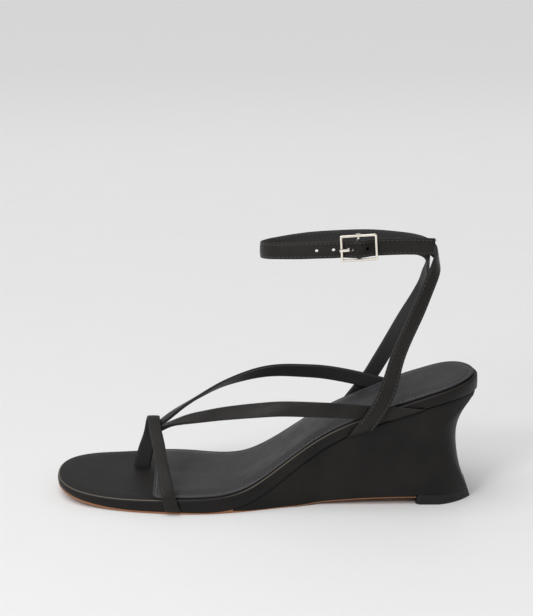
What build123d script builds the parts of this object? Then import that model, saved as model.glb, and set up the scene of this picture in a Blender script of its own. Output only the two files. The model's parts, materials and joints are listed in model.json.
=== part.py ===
"""Wedge sandal, left shoe, as an assembly of its separate pieces.

Millimetres, +Z up, -X towards the toe, -Y towards the outer side of the foot.
The origin is on the ground, under the middle of the sole.
"""

import os
from math import cos, exp, pi, radians, sin

from build123d import *

os.makedirs("parts", exist_ok=True)

# ---------------------------------------------------------------- driving dimensions

OUTSOLE_THICKNESS = 1.1
WAIST_THICKNESS = 0.4
OUTSOLE_INSET = 0.5
FOOTBED_THICKNESS = 6.2
TOE_THINNING = 2.3
HEEL_THICKENING = 2.0
ARCH_THICKENING = 2.4
TOE_SPRING = 5.5
TOE_X = -122.0
BALL_X = -75.0
HEEL_BACK_X = 121.3

RIM_THICKNESS = 1.0
LASTING_MARGIN = 11.0
INSOCK_FOAM_THICKNESS = 1.3
INSOCK_THICKNESS = 0.9
INSOCK_INSET = 2.2
INSOCK_CORNER = 5.5

WEDGE_FRONT_X = -19.0
WEDGE_INSET = 0.6
WEDGE_SKIN = 0.9
TOP_LIFT_FRONT_X = 85.5
TOP_LIFT_HEIGHT = 5.85

SHANK_WIDTH = 12.0
SHANK_THICKNESS = 1.2

STRAP_THICKNESS = 2.0
TAPE_THICKNESS = 0.3
GLUE_LINE = 0.05
PLY_THICKNESS = (STRAP_THICKNESS - TAPE_THICKNESS - 2 * GLUE_LINE) / 2
TAPE_WIDTH = 5.0
ANKLE_WIDTH = 9.0
INSTEP_WIDTH = 8.7
TOE_WIDTH = 7.6
THREAD = 0.3

# The hinge line where both ankle straps fold forwards and backwards over their roots
FOLD_X = 61.6
FOLD_Z = 59.5
FOLD_LEAN = 31.0
FOLD_CLEARANCE = 1.6

# The buckle: its own frame has x along the strap and h outwards from the ankle
BUCKLE_AT = Vector(51.2, -19.7, 149.6)
BUCKLE_TILT = 3.5
BUCKLE_LENGTH = 20.6
BUCKLE_HEIGHT = 15.0
BUCKLE_BAR = 1.3
BUCKLE_DEPTH = 1.6
FRAME_RISE = 0.8
BAR_RADIUS = 0.8
BAR_H = -2.1
RUNNING_CLEARANCE = 0.06
CURL_THICKNESS = 0.6
STRAP_UNDER_H = -2.4
STRAP_OVER_H = 0.8
CHAPE_H = -4.5
CHAPE_END = 19.5
TIP_HINGE = 12.0
TIP_CLEARANCE = 0.15
HOLE_PITCH = 9.35
HOLE_RADIUS = 0.95
PRONG_HOLE = -4.7
PRONG_SLOT = 5.6
PRONG_WIDTH = 1.4
PRONG_THICKNESS = 0.9

# Levels inside the footbed, as fractions of its thickness over the joint line
MARGIN_LEVEL = 0.14
BOARD_LEVEL = 0.60
FOAM_LEVEL = 0.83
COVER_LEVEL = 1.0

UP = Vector(0, 0, 1)
FORWARD = Vector(-1, 0, 0)
OUTWARD = Vector(0, -1, 0)


# Everything is drawn about the heel's centre line, and each finished piece is then moved
# so that the origin lies under the middle of the whole sandal
TO_ORIGIN = Location((0.4, -2.9, 0))


def save(builder, name):
    """Labels a finished sub-part, moves it to the sandal's origin and writes its STEP file."""
    piece = builder.part.moved(TO_ORIGIN)
    piece.label = name
    export_step(piece, f"parts/{name}.step")
    print(f"{name:26s} solids {len(builder.part.solids()):2d}  volume {builder.part.volume:9.1f}")


# ---------------------------------------------------------------- lines of the sole


def toe_spring(x):
    """Height of the outsole's underside ahead of the ball."""
    reach = max(0.0, BALL_X - x) / (BALL_X - TOE_X)
    return TOE_SPRING * reach**2


def footbed_thickness(x):
    """The footbed thins towards the toe and thickens before the arch and at the back of the heel."""
    toe = min(max(0.0, BALL_X - x) / (BALL_X - TOE_X), 1.0)
    heel = min(max(0.0, x - 85.0) / 35.0, 1.0)
    thickening = ARCH_THICKENING * exp(-(((x + 20) / 42) ** 2)) + HEEL_THICKENING * heel**2
    return FOOTBED_THICKNESS - TOE_THINNING * toe**1.5 + thickening


def raised(line, rise):
    """The same line of points, moved straight up."""
    return [(x, z + rise) for x, z in line]


# Underside of the outsole: toe spring, flat ball, then lifted a little under the wedge
forefoot_ground = [(x, toe_spring(x)) for x in (-128, -115, -102, -90, -75, -50, -26)]
wedge_ground = [(-5, 0), (10, 0.2), (25, 1.0), (40, 2.4), (55, 3.5), (70, 4.1), (85.5, 4.35)]
ground_line = forefoot_ground + wedge_ground

# Underside of the footbed: on the outsole at the ball, then up the wedge to the heel seat
ramp_line = [(-10, 4.6), (0, 9.9), (10, 17.0), (20, 24.9), (30, 32.4), (40, 38.6), (50, 43.5)]
seat_line = [(62, 48.3), (75, 53.0), (90, 58.1), (105, 61.6), (122, 63.4), (130, 63.8)]
joint_line = raised(forefoot_ground, OUTSOLE_THICKNESS) + ramp_line + seat_line
joint = Spline(*joint_line)


def level(fraction, above=0.0):
    """Points of the line at a fraction of the footbed's thickness over the joint line."""
    points = []
    for x, z in joint_line:
        along = joint.tangent_at(joint.param_at_point((x, z)))
        rise = footbed_thickness(x) * fraction + above
        points.append((x - along.Y * rise, z + along.X * rise))
    return points


def side_profile(lower, upper):
    """Closed side view between two lines of points."""
    with BuildSketch(Plane.XZ) as profile:
        with BuildLine():
            low = Spline(*lower)
            high = Spline(*upper)
            Line(low @ 0, high @ 0)
            Line(low @ 1, high @ 1)
        make_face()
    return profile.sketch


def over_wedge_bottom():
    """Side view of everything over the wedge's underside, from the wedge's front tip backwards."""
    top = 100
    with BuildSketch(Plane.XZ) as profile:
        with BuildLine():
            under = Spline((WEDGE_FRONT_X, OUTSOLE_THICKNESS), *raised(wedge_ground, WAIST_THICKNESS))
            seat = [(TOP_LIFT_FRONT_X, TOP_LIFT_HEIGHT), (130, TOP_LIFT_HEIGHT)]
            Polyline(under @ 1, *seat, (130, top), (WEDGE_FRONT_X, top), under @ 0)
        make_face()
    return profile.sketch


def joint_plane(x, y, rise=0.0):
    """Plane on the joint line at a given x, facing out of the footbed."""
    low, high = 0.0, 1.0
    for _ in range(30):
        middle = (low + high) / 2
        if (joint @ middle).X < x:
            low = middle
        else:
            high = middle
    point, along = joint @ low, joint % low
    normal = Vector(-along.Y, 0, along.X)
    return Plane(Vector(point.X, y, point.Y) + normal * rise, x_dir=(along.X, 0, along.Y), z_dir=normal)


# ---------------------------------------------------------------- outline of the sole

TOE_TIP = (-122.2, 6)
HEEL_BACK = (HEEL_BACK_X, 0)
outer_side = [
    TOE_TIP,
    (-119.2, -10.8),
    (-110.6, -22.2),
    (-95.4, -30.0),
    (-75, -35.5),
    (-50, -38.8),
    (-30, -38.2),
    (-10, -34.2),
    (10, -28.6),
    (30, -26.0),
    (60, -25.5),
    (85, -25.5),
    (102, -22.8),
    (114, -14.5),
    HEEL_BACK,
]
inner_side = [
    HEEL_BACK,
    (114, 14.5),
    (102, 22.8),
    (85, 25.5),
    (60, 25.5),
    (30, 26.0),
    (10, 28.6),
    (-10, 33.8),
    (-30, 39.0),
    (-50, 44.0),
    (-70, 46.8),
    (-90, 46.4),
    (-105, 41.5),
    (-116, 31),
    (-121, 19),
    TOE_TIP,
]
sole_points = outer_side[:-1] + inner_side[:-1]
sole_edge = Spline(*sole_points, periodic=True)


def outline(inset=0.0):
    """Footbed outline seen from above, moved inwards by the inset."""
    points = []
    for x, y in sole_points:
        along = sole_edge.tangent_at(sole_edge.param_at_point((x, y)))
        points.append((x - along.Y * inset, y + along.X * inset))
    with BuildSketch() as plan:
        with BuildLine():
            Spline(*points, periodic=True)
        make_face()
    return plan.sketch


def footbed_slab(low, high, inset=0.0, mode=Mode.ADD):
    """Slab of the footbed between two levels; a level is (fraction, height above)."""
    with BuildPart() as slab:
        extrude(side_profile(level(*low), level(*high)), amount=60, both=True)
        extrude(outline(inset), amount=120, mode=Mode.INTERSECT)
    return add(slab.part, mode=mode)


def margin_tab(x_low, x_high, y_low, y_high, mode=Mode.ADD):
    """End of a strap, turned under the insole board and glued into the lasting margin."""
    with BuildPart() as tab:
        extrude(side_profile(level(0), level(MARGIN_LEVEL)), amount=60, both=True)
        with BuildSketch():
            with Locations(((x_low + x_high) / 2, (y_low + y_high) / 2)):
                Rectangle(x_high - x_low, y_high - y_low)
        extrude(amount=120, mode=Mode.INTERSECT)
    return add(tab.part, mode=mode)


TOE_TAB = (-57.0, -49.5, -40.8, -27.0)
LATERAL_ANKLE_TAB = (47.0, 61.5, -28.0, -16.0)
MEDIAL_ANKLE_TAB = (46.0, 60.0, 16.0, 28.0)
LATERAL_INSTEP_TAB = (65.0, 82.0, -27.7, -16.0)
MEDIAL_INSTEP_TAB = (65.0, 84.5, 16.0, 27.7)
THONG_TAB = (-81.0, -67.5, 13.0, 27.0)
all_tabs = (TOE_TAB, LATERAL_ANKLE_TAB, MEDIAL_ANKLE_TAB, LATERAL_INSTEP_TAB, MEDIAL_INSTEP_TAB, THONG_TAB)

# ---------------------------------------------------------------- hardware inside the heel

SHANK_LOW = (MARGIN_LEVEL, 0.0)
SHANK_HIGH = (MARGIN_LEVEL, SHANK_THICKNESS)
SHANK_ENDS = (-34.0, 100.0)

with BuildPart() as shank_rivets:
    for x in (-24.0, 78.0):
        with BuildSketch(joint_plane(x, 0, 0.9)):
            Circle(1.6)
        extrude(amount=2.6)
save(shank_rivets, "shank_rivets")

with BuildPart() as heel_screw:
    with BuildSketch(joint_plane(96, 0, 2.9)):
        Circle(3.5)
    extrude(amount=-1.6, taper=38)
    with BuildSketch(joint_plane(96, 0, 2.9)):
        Circle(1.9)
    extrude(amount=-24)
save(heel_screw, "heel_screw")

with BuildPart() as heel_nails:
    for x, y in ((84, -15), (84, 15), (106, -9), (106, 9)):
        with BuildSketch(joint_plane(x, y, 3.0)):
            Circle(1.9)
        extrude(amount=-0.8)
        with BuildSketch(joint_plane(x, y, 3.0)):
            Circle(0.8)
        extrude(amount=-17)
save(heel_nails, "heel_nails")

with BuildPart() as top_lift_pins:
    with BuildSketch(Plane.XY.offset(2.0)):
        with Locations((93, -14), (93, 14), (108, 0)):
            Circle(1.3)
    extrude(amount=16)
save(top_lift_pins, "top_lift_pins")

with BuildPart() as shank:
    extrude(side_profile(level(*SHANK_LOW), level(*SHANK_HIGH)), amount=SHANK_WIDTH / 2, both=True)
    with BuildSketch():
        with Locations((sum(SHANK_ENDS) / 2, 0)):
            SlotOverall(SHANK_ENDS[1] - SHANK_ENDS[0], SHANK_WIDTH)
    extrude(amount=120, mode=Mode.INTERSECT)
    add(shank_rivets.part, mode=Mode.SUBTRACT)
    add(heel_screw.part, mode=Mode.SUBTRACT)
save(shank, "shank")

# ---------------------------------------------------------------- footbed

thong_slot = Box(9.6, 3.0, 30.0, mode=Mode.PRIVATE).moved(Location((-74.1, 20.1, 5.0)))

with BuildPart() as insole_board:
    footbed_slab((MARGIN_LEVEL, 0), (BOARD_LEVEL, 0), RIM_THICKNESS)
    add(thong_slot, mode=Mode.SUBTRACT)
    for piece in (shank, shank_rivets, heel_screw, heel_nails):
        add(piece.part, mode=Mode.SUBTRACT)
save(insole_board, "insole_board")

with BuildPart() as bottom_filler:
    footbed_slab((0, 0), (MARGIN_LEVEL, 0), LASTING_MARGIN)
    for tab in all_tabs:
        margin_tab(*tab, mode=Mode.SUBTRACT)
    for piece in (shank_rivets, heel_screw, heel_nails):
        add(piece.part, mode=Mode.SUBTRACT)
save(bottom_filler, "bottom_filler")

with BuildPart() as rim_band:
    footbed_slab((0, 0), (FOAM_LEVEL, 0))
    footbed_slab((MARGIN_LEVEL, 0), (FOAM_LEVEL, 0), RIM_THICKNESS, Mode.SUBTRACT)
    footbed_slab((0, 0), (MARGIN_LEVEL, 0), LASTING_MARGIN, Mode.SUBTRACT)
    for tab in all_tabs:
        margin_tab(*tab, mode=Mode.SUBTRACT)
    add(heel_nails.part, mode=Mode.SUBTRACT)
save(rim_band, "rim_band")

with BuildPart() as footbed_foam:
    footbed_slab((BOARD_LEVEL, 0), (FOAM_LEVEL, 0), RIM_THICKNESS)
    add(thong_slot, mode=Mode.SUBTRACT)
save(footbed_foam, "footbed_foam")

with BuildPart() as footbed_cover:
    footbed_slab((FOAM_LEVEL, 0), (COVER_LEVEL, 0))
    add(thong_slot, mode=Mode.SUBTRACT)
save(footbed_cover, "footbed_cover")


def insock_plan(inset):
    """Outline of the padded insock, whose front edge lies across the ball."""
    front = [(-64.0, -60), (-67.6, 50), (130, 50), (130, -60)]
    with BuildSketch() as plan:
        add(outline(INSOCK_INSET + inset))
        with BuildSketch(mode=Mode.INTERSECT):
            with Locations((inset, 0)):
                Polygon(*front, align=None)
        fillet(plan.vertices().sort_by(Axis.X)[:2], INSOCK_CORNER - inset / 2)
    return plan.sketch


def insock_slab(low, high, inset, mode=Mode.ADD):
    """Slab over the footbed cover with the insock's outline; low and high are heights."""
    with BuildPart() as slab:
        extrude(side_profile(level(1, low), level(1, high)), amount=60, both=True)
        extrude(insock_plan(inset), amount=120, mode=Mode.INTERSECT)
    return add(slab.part, mode=mode)


INSOCK_TOP = INSOCK_FOAM_THICKNESS + INSOCK_THICKNESS

with BuildPart() as insock_foam:
    insock_slab(0, INSOCK_FOAM_THICKNESS, 4)
save(insock_foam, "insock_foam")

with BuildPart() as insock:
    insock_slab(0, INSOCK_TOP, 0)
    add(insock_foam.part, mode=Mode.SUBTRACT)
save(insock, "insock")

with BuildPart() as insock_stitching:
    insock_slab(INSOCK_TOP, INSOCK_TOP + THREAD, 1.6)
    insock_slab(INSOCK_TOP, INSOCK_TOP + THREAD, 2.1, Mode.SUBTRACT)
save(insock_stitching, "insock_stitching")

# ---------------------------------------------------------------- outsole, wedge and top lift

# Horizontal sections of the wedge: height, x of the back, half width, radius of the rear corners
wedge_sections = [
    (66, 123.5, 25.6, 22.0),
    (56, 114.9, 24.8, 19.0),
    (45, 109.5, 24.2, 16.0),
    (32, 109.1, 23.7, 13.5),
    (19, 111.5, 23.4, 12.0),
    (5, 116.3, 23.2, 11.0),
]


def heel_section(height, back, half_width, corner):
    """Outline of the heel at one height, with a wide front that the sole's outline trims."""
    with BuildSketch(Plane.XY.offset(height)) as section:
        with BuildLine():
            Line((-30, -40), (30, -half_width))
            Line((30, -half_width), (back - corner, -half_width))
            JernArc((back - corner, -half_width), (1, 0), corner, 90)
            Line((back, -half_width + corner), (back, half_width - corner))
            JernArc((back, half_width - corner), (0, 1), corner, 90)
            Line((back - corner, half_width), (30, half_width))
            Line((30, half_width), (-30, 40))
            Line((-30, 40), (-30, -40))
        make_face()
    return section.sketch


def wedge_block(skin, mode=Mode.ADD):
    """The wedge under the footbed, its sides and back moved inwards by the skin."""
    with BuildPart() as block:
        extrude(side_profile(raised(joint_line, -80), joint_line), amount=60, both=True)
        extrude(over_wedge_bottom(), amount=60, both=True, mode=Mode.INTERSECT)
        with BuildSketch() as plan:
            add(outline(WEDGE_INSET + skin))
            with Locations((WEDGE_FRONT_X + skin, 0)):
                Rectangle(200, 200, align=(Align.MIN, Align.CENTER), mode=Mode.INTERSECT)
        extrude(plan.sketch, amount=120, mode=Mode.INTERSECT)
        sections = []
        for height, back, half_width, corner in wedge_sections:
            sections.append(heel_section(height, back - skin, half_width - skin, corner - skin))
        loft(sections, mode=Mode.INTERSECT)
    return add(block.part, mode=mode)


with BuildPart() as wedge_core:
    wedge_block(WEDGE_SKIN)
    for piece in (heel_screw, heel_nails, top_lift_pins):
        add(piece.part, mode=Mode.SUBTRACT)
save(wedge_core, "wedge_core")

with BuildPart() as wedge_cover:
    wedge_block(0)
    wedge_block(WEDGE_SKIN, mode=Mode.SUBTRACT)
save(wedge_cover, "wedge_cover")

with BuildPart() as outsole:
    extrude(side_profile(raised(joint_line, -80), joint_line), amount=60, both=True)
    extrude(side_profile(raised(ground_line, -90), ground_line), amount=60, both=True, mode=Mode.SUBTRACT)
    extrude(over_wedge_bottom(), amount=60, both=True, mode=Mode.SUBTRACT)
    with BuildSketch() as plan:
        add(outline(OUTSOLE_INSET))
        add(heel_section(0, 115.0, 23.2, 11.0), mode=Mode.INTERSECT)
        with Locations((-30, 0)):
            Rectangle(120, 200, align=(Align.MAX, Align.CENTER))
        add(outline(OUTSOLE_INSET), mode=Mode.INTERSECT)
        with Locations((TOP_LIFT_FRONT_X, 0)):
            Rectangle(80, 200, align=(Align.MIN, Align.CENTER), mode=Mode.SUBTRACT)
    extrude(plan.sketch, amount=120, mode=Mode.INTERSECT)
save(outsole, "outsole")


def top_lift_section(height, back):
    """Outline of the top lift at one height."""
    with BuildSketch(Plane.XY.offset(height)) as section:
        with Locations((TOP_LIFT_FRONT_X, 0)):
            Rectangle(back - TOP_LIFT_FRONT_X, 46.4, align=(Align.MIN, Align.CENTER))
        corners = section.vertices().sort_by(Axis.X)
        fillet(corners[:2], 3.0)
        fillet(section.vertices().sort_by(Axis.X)[-2:], 11.0)
    return section.sketch


with BuildPart() as top_lift:
    loft([top_lift_section(0, 118.2), top_lift_section(TOP_LIFT_HEIGHT, 116.2)])
    extrude(outline(WEDGE_INSET), amount=TOP_LIFT_HEIGHT, mode=Mode.INTERSECT)
    add(top_lift_pins.part, mode=Mode.SUBTRACT)
save(top_lift, "top_lift")

# ---------------------------------------------------------------- straps


def strap_planes(route, reference, lift):
    """Planes across a strap, x along its width and y out of its face, raised by the lift.

    A route point is (x, y, z, roll); at roll 0 the strap's width is closest to the reference
    direction, and at roll 90 the strap lies flat on its side.
    """
    line = Spline(*[Vector(x, y, z) for x, y, z, _ in route])
    planes = []
    for x, y, z, roll in route:
        along = line.tangent_at(line.param_at_point((x, y, z)))
        side = along.cross(reference).normalized()
        face = side * cos(radians(roll)) + side.cross(along) * sin(radians(roll))
        planes.append(Plane(Vector(x, y, z) + face * lift, x_dir=face.cross(along), z_dir=along))
    return planes


def strap(route, width, thickness, lift=0.0, reference=UP):
    """Lofts one layer of a strap along its route."""
    sections = []
    for plane in strap_planes(route, reference, lift):
        with BuildSketch(plane) as section:
            Rectangle(width, thickness)
        sections.append(section.sketch)
    return loft(sections)


PLY_LIFT = (STRAP_THICKNESS - PLY_THICKNESS) / 2


def at_buckle(along, h, roll=0):
    """Route point in the buckle's own frame: along the strap, and outwards from its middle plane."""
    tilt = radians(BUCKLE_TILT)
    point = BUCKLE_AT + Vector(cos(tilt), 0, sin(tilt)) * along + OUTWARD * h
    return (point.X, point.Y, point.Z, roll)


def below_joint(mode=Mode.SUBTRACT):
    """Everything under the footbed, where the straps are tucked in."""
    return extrude(side_profile(raised(joint_line, -120), joint_line), amount=60, both=True, mode=mode)


def over_fold(radius, mode):
    """Everything beyond the fold line, with a round end about the hinge."""
    with BuildSketch(Plane.XZ) as region:
        with Locations((FOLD_X, FOLD_Z)):
            Circle(radius)
            Rectangle(400, 400, rotation=-FOLD_LEAN, align=(Align.CENTER, Align.MIN))
    return extrude(region.sketch, amount=60, both=True, mode=mode)


# Toe strap: up from the outer edge over the toes, over the instep straps and down the slot
toe_route = [
    (-52.2, -40.0, 0.5, 0),
    (-53.6, -40.1, 5.0, 0),
    (-54.9, -39.7, 10.0, 0),
    (-56.4, -36.6, 15.5, 0),
    (-58.2, -29.4, 21.6, 0),
    (-60.2, -20.4, 26.4, 0),
    (-61.9, -11.0, 30.7, 0),
    (-63.8, -2.0, 34.8, 0),
    (-65.4, 6.0, 38.4, 0),
    (-66.2, 12.5, 40.5, 0),
    (-66.9, 17.6, 38.8, 0),
    (-68.0, 20.3, 33.0, 0),
    (-69.2, 20.8, 26.5, 0),
    (-71.2, 20.7, 20.0, 0),
    (-72.8, 20.4, 14.0, 0),
    (-74.0, 20.1, 8.0, 0),
    (-74.3, 20.1, 3.0, 0),
]

# Instep straps: from under the toe strap's loop to the outer and the inner edge
lateral_instep_route = [
    (-67.8, 12.1, 32.4, 86),
    (-65.0, 11.7, 33.4, 84),
    (-60.8, 10.4, 35.4, 80),
    (-56.5, 7.8, 38.2, 76),
    (-50.3, 2.0, 42.3, 70),
    (-38.3, -7.0, 47.5, 58),
    (-26.6, -14.0, 51.6, 48),
    (-15.0, -19.0, 54.5, 39),
    (-3.7, -22.2, 56.6, 31),
    (7.6, -24.2, 58.0, 25),
    (18.9, -25.4, 58.3, 18),
    (30.0, -26.2, 58.2, 11),
    (41.0, -26.6, 57.9, 5),
    (52.0, -26.8, 57.2, 0),
    (63.5, -26.8, 56.6, 0),
    (75.0, -26.8, 55.6, 0),
    (90.0, -26.8, 54.0, 0),
]
medial_instep_route = [
    (90.0, 26.8, 50.0, 0),
    (78.0, 26.8, 53.6, 0),
    (67.0, 26.8, 57.0, 0),
    (55.3, 26.8, 60.0, 2),
    (43.5, 26.6, 62.6, 5),
    (31.6, 26.0, 64.6, 10),
    (19.7, 24.8, 65.7, 16),
    (8.0, 23.0, 66.5, 23),
    (-3.8, 21.0, 65.8, 33),
    (-15.6, 18.9, 63.2, 46),
    (-27.3, 17.0, 59.2, 60),
    (-39.1, 16.0, 52.8, 72),
    (-51.0, 15.2, 45.4, 80),
    (-56.9, 13.9, 41.3, 84),
    (-61.0, 13.0, 38.4, 86),
    (-65.0, 12.7, 36.2, 86),
    (-67.8, 12.7, 35.2, 86),
]

# Lateral ankle strap: up the outer side, round the back, the inner side and the front,
# and back along the outer side through the buckle
lateral_ankle_rise = [
    (47.5, -27.2, 36.0, 0),
    (51.2, -28.2, 42.0, 0),
    (56.6, -29.3, 49.8, 0),
    (61.7, -29.7, 57.8, 0),
    (66.1, -29.8, 66.0, 0),
    (69.6, -29.7, 77.0, 0),
    (72.6, -28.8, 88.2, 0),
    (77.0, -26.8, 99.3, 0),
    (82.2, -24.0, 110.2, 6),
    (87.0, -20.6, 120.3, 14),
    (91.4, -15.6, 129.4, 22),
    (94.9, -9.2, 135.8, 24),
    (96.5, -2.0, 139.4, 14),
]
ankle_loop = [
    (95.8, 5.4, 142.2, 5),
    (90.2, 11.4, 145.2, 0),
    (76.0, 14.6, 147.6, 0),
    (60.0, 16.2, 148.5, 0),
    (42.0, 16.6, 148.0, 0),
    (24.0, 15.7, 146.9, 0),
    (8.5, 12.6, 145.2, 0),
    (-0.6, 6.5, 144.6, 0),
    (-2.8, -0.5, 145.0, 0),
    (-0.2, -7.0, 145.8, 0),
    (8.0, -12.4, 146.9, 0),
    (19.0, -15.9, 147.8, 0),
    (30.0, -17.2, 148.5, 0),
]


def buckle_wave(along):
    """The strap runs under the left bar, over the centre bar and under the right bar."""
    wave = 0.5 + 0.5 * cos(pi * along / (BUCKLE_LENGTH / 2 - BUCKLE_BAR / 2))
    return STRAP_UNDER_H + (STRAP_OVER_H - STRAP_UNDER_H) * wave


wave_stations = (-9.65, -7.2, -4.8, -2.4, 0, 2.4, 4.8, 7.2, 9.65)
buckle_pass = [at_buckle(-12.5, STRAP_UNDER_H)]
buckle_pass += [at_buckle(along, buckle_wave(along)) for along in wave_stations]
buckle_pass += [at_buckle(TIP_HINGE, STRAP_UNDER_H)]
lateral_ankle_route = lateral_ankle_rise + ankle_loop + buckle_pass
lateral_root_route = lateral_ankle_rise[:7]

strap_tip_route = [
    at_buckle(TIP_HINGE - 2, STRAP_UNDER_H),
    at_buckle(TIP_HINGE, STRAP_UNDER_H),
    (74.0, -17.4, 150.8, 0),
    (84.0, -16.0, 150.5, 0),
    (93.2, -13.4, 149.6, 0),
]

# Medial ankle strap: from the chape round the back, inside the lateral strap, to the inner edge
medial_ankle_route = [
    at_buckle(CHAPE_END + 0.6, CHAPE_H),
    (78.0, -13.7, 150.2, 0),
    (85.0, -11.0, 148.8, 0),
    (89.3, -6.8, 146.0, 0),
    (91.1, -1.4, 142.0, 0),
    (91.3, 4.6, 137.2, 0),
    (91.3, 10.4, 131.2, 0),
    (90.6, 15.4, 124.6, 0),
    (89.6, 19.8, 117.0, 0),
    (86.3, 23.4, 108.3, 0),
    (81.8, 26.2, 99.4, 0),
    (77.2, 28.2, 90.0, 0),
    (71.2, 29.4, 78.4, 0),
    (66.2, 29.8, 69.4, 0),
    (61.0, 29.7, 60.6, 0),
    (55.0, 29.3, 52.4, 0),
    (48.0, 28.2, 43.6, 0),
    (43.0, 27.2, 37.0, 0),
]
medial_root_route = medial_ankle_route[-7:]


def strap_holes():
    """Round holes of the buckle strap and the slot that the prong comes through."""
    round_holes = [(PRONG_HOLE + n * HOLE_PITCH, 0) for n in (-2, -1, 1)]
    with BuildSketch(buckle_plane(-30)) as holes:
        with Locations(*round_holes):
            Circle(HOLE_RADIUS)
        with Locations((PRONG_HOLE, 0)):
            SlotOverall(PRONG_SLOT, 2 * HOLE_RADIUS + 0.3)
    return extrude(holes.sketch, amount=60, mode=Mode.SUBTRACT)


def buckle_plane(h):
    """Plane parallel to the buckle's face, x along the strap and y up."""
    tilt = radians(BUCKLE_TILT)
    return Plane(BUCKLE_AT + OUTWARD * h, x_dir=(cos(tilt), 0, sin(tilt)), z_dir=OUTWARD)


def buckle_side():
    """Plane across the buckle's bars, x along the strap and y outwards."""
    tilt = radians(BUCKLE_TILT)
    return Plane(BUCKLE_AT, x_dir=(cos(tilt), 0, sin(tilt)), z_dir=(sin(tilt), 0, -cos(tilt)))


def beyond_tip_hinge(radius, reach, mode):
    """The strap's space beyond the tip's hinge, with a round end about its axis."""
    with BuildSketch(buckle_side()) as region:
        with Locations((TIP_HINGE, STRAP_UNDER_H)):
            Circle(radius)
            Rectangle(reach, ANKLE_WIDTH * 2, align=(Align.MIN, Align.CENTER))
    return extrude(region.sketch, amount=ANKLE_WIDTH, both=True, mode=mode)


with BuildPart() as toe_strap:
    strap(toe_route, TOE_WIDTH, PLY_THICKNESS, PLY_LIFT, FORWARD)
    below_joint()
    margin_tab(*TOE_TAB)
save(toe_strap, "toe_strap")

with BuildPart() as toe_strap_lining:
    strap(toe_route, TOE_WIDTH, PLY_THICKNESS, -PLY_LIFT, FORWARD)
    below_joint()
    margin_tab(*TOE_TAB, mode=Mode.SUBTRACT)
save(toe_strap_lining, "toe_strap_lining")

with BuildPart() as thong_anchor:
    margin_tab(*THONG_TAB)
save(thong_anchor, "thong_anchor")

instep_straps = [
    ("lateral_instep", lateral_instep_route, LATERAL_INSTEP_TAB),
    ("medial_instep", medial_instep_route, MEDIAL_INSTEP_TAB),
]
for name, route, tab in instep_straps:
    with BuildPart() as outer:
        strap(route, INSTEP_WIDTH, PLY_THICKNESS, PLY_LIFT)
        below_joint()
        margin_tab(*tab)
    save(outer, f"{name}_strap")
    with BuildPart() as lining:
        strap(route, INSTEP_WIDTH, PLY_THICKNESS, -PLY_LIFT)
        below_joint()
        margin_tab(*tab, mode=Mode.SUBTRACT)
    save(lining, f"{name}_lining")

ankle_roots = [
    ("lateral_ankle", lateral_root_route, LATERAL_ANKLE_TAB),
    ("medial_ankle", medial_root_route, MEDIAL_ANKLE_TAB),
]
for name, route, tab in ankle_roots:
    with BuildPart() as outer:
        strap(route, ANKLE_WIDTH, PLY_THICKNESS, PLY_LIFT)
        over_fold(ANKLE_WIDTH / 2 + FOLD_CLEARANCE, Mode.SUBTRACT)
        below_joint()
        margin_tab(*tab)
    save(outer, f"{name}_root")
    with BuildPart() as lining:
        strap(route, ANKLE_WIDTH, PLY_THICKNESS, -PLY_LIFT)
        over_fold(ANKLE_WIDTH / 2 + FOLD_CLEARANCE, Mode.SUBTRACT)
        below_joint()
        margin_tab(*tab, mode=Mode.SUBTRACT)
    save(lining, f"{name}_root_lining")

with BuildPart() as lateral_ankle_strap:
    strap(lateral_ankle_route, ANKLE_WIDTH, PLY_THICKNESS, PLY_LIFT)
    over_fold(ANKLE_WIDTH / 2, Mode.INTERSECT)
    beyond_tip_hinge(STRAP_THICKNESS / 2 + TIP_CLEARANCE, 3, Mode.SUBTRACT)
    strap_holes()
save(lateral_ankle_strap, "lateral_ankle_strap")

with BuildPart() as lateral_ankle_lining:
    strap(lateral_ankle_route, ANKLE_WIDTH, PLY_THICKNESS, -PLY_LIFT)
    over_fold(ANKLE_WIDTH / 2, Mode.INTERSECT)
    beyond_tip_hinge(STRAP_THICKNESS / 2 + TIP_CLEARANCE, 3, Mode.SUBTRACT)
    strap_holes()
save(lateral_ankle_lining, "lateral_ankle_lining")

# The medial strap's end is skived to a tongue that the chape folds over
with BuildPart() as medial_ankle_strap:
    strap(medial_ankle_route, ANKLE_WIDTH, PLY_THICKNESS, PLY_LIFT)
    over_fold(ANKLE_WIDTH / 2, Mode.INTERSECT)
    with BuildSketch(buckle_side()):
        with Locations(((CHAPE_END + TIP_HINGE) / 2, CHAPE_H)):
            Rectangle(CHAPE_END - TIP_HINGE + 1.4, 0.78)
    extrude(amount=TAPE_WIDTH / 2 + 1, both=True)
save(medial_ankle_strap, "medial_ankle_strap")

with BuildPart() as medial_ankle_lining:
    strap(medial_ankle_route, ANKLE_WIDTH, PLY_THICKNESS, -PLY_LIFT)
    over_fold(ANKLE_WIDTH / 2, Mode.INTERSECT)
    add(medial_ankle_strap.part, mode=Mode.SUBTRACT)
save(medial_ankle_lining, "medial_ankle_lining")

# Stay tape between the two plies of the ankle strap, so that it doesn't stretch
with BuildPart() as ankle_strap_tape:
    strap(lateral_ankle_route, TAPE_WIDTH, TAPE_THICKNESS)
    over_fold(ANKLE_WIDTH / 2, Mode.INTERSECT)
    beyond_tip_hinge(STRAP_THICKNESS / 2 + TIP_CLEARANCE, 3, Mode.SUBTRACT)
    strap_holes()
save(ankle_strap_tape, "ankle_strap_tape")

with BuildPart() as strap_tip:
    strap(strap_tip_route, ANKLE_WIDTH, PLY_THICKNESS, PLY_LIFT)
    beyond_tip_hinge(STRAP_THICKNESS / 2, 40, Mode.INTERSECT)
save(strap_tip, "strap_tip")

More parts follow.
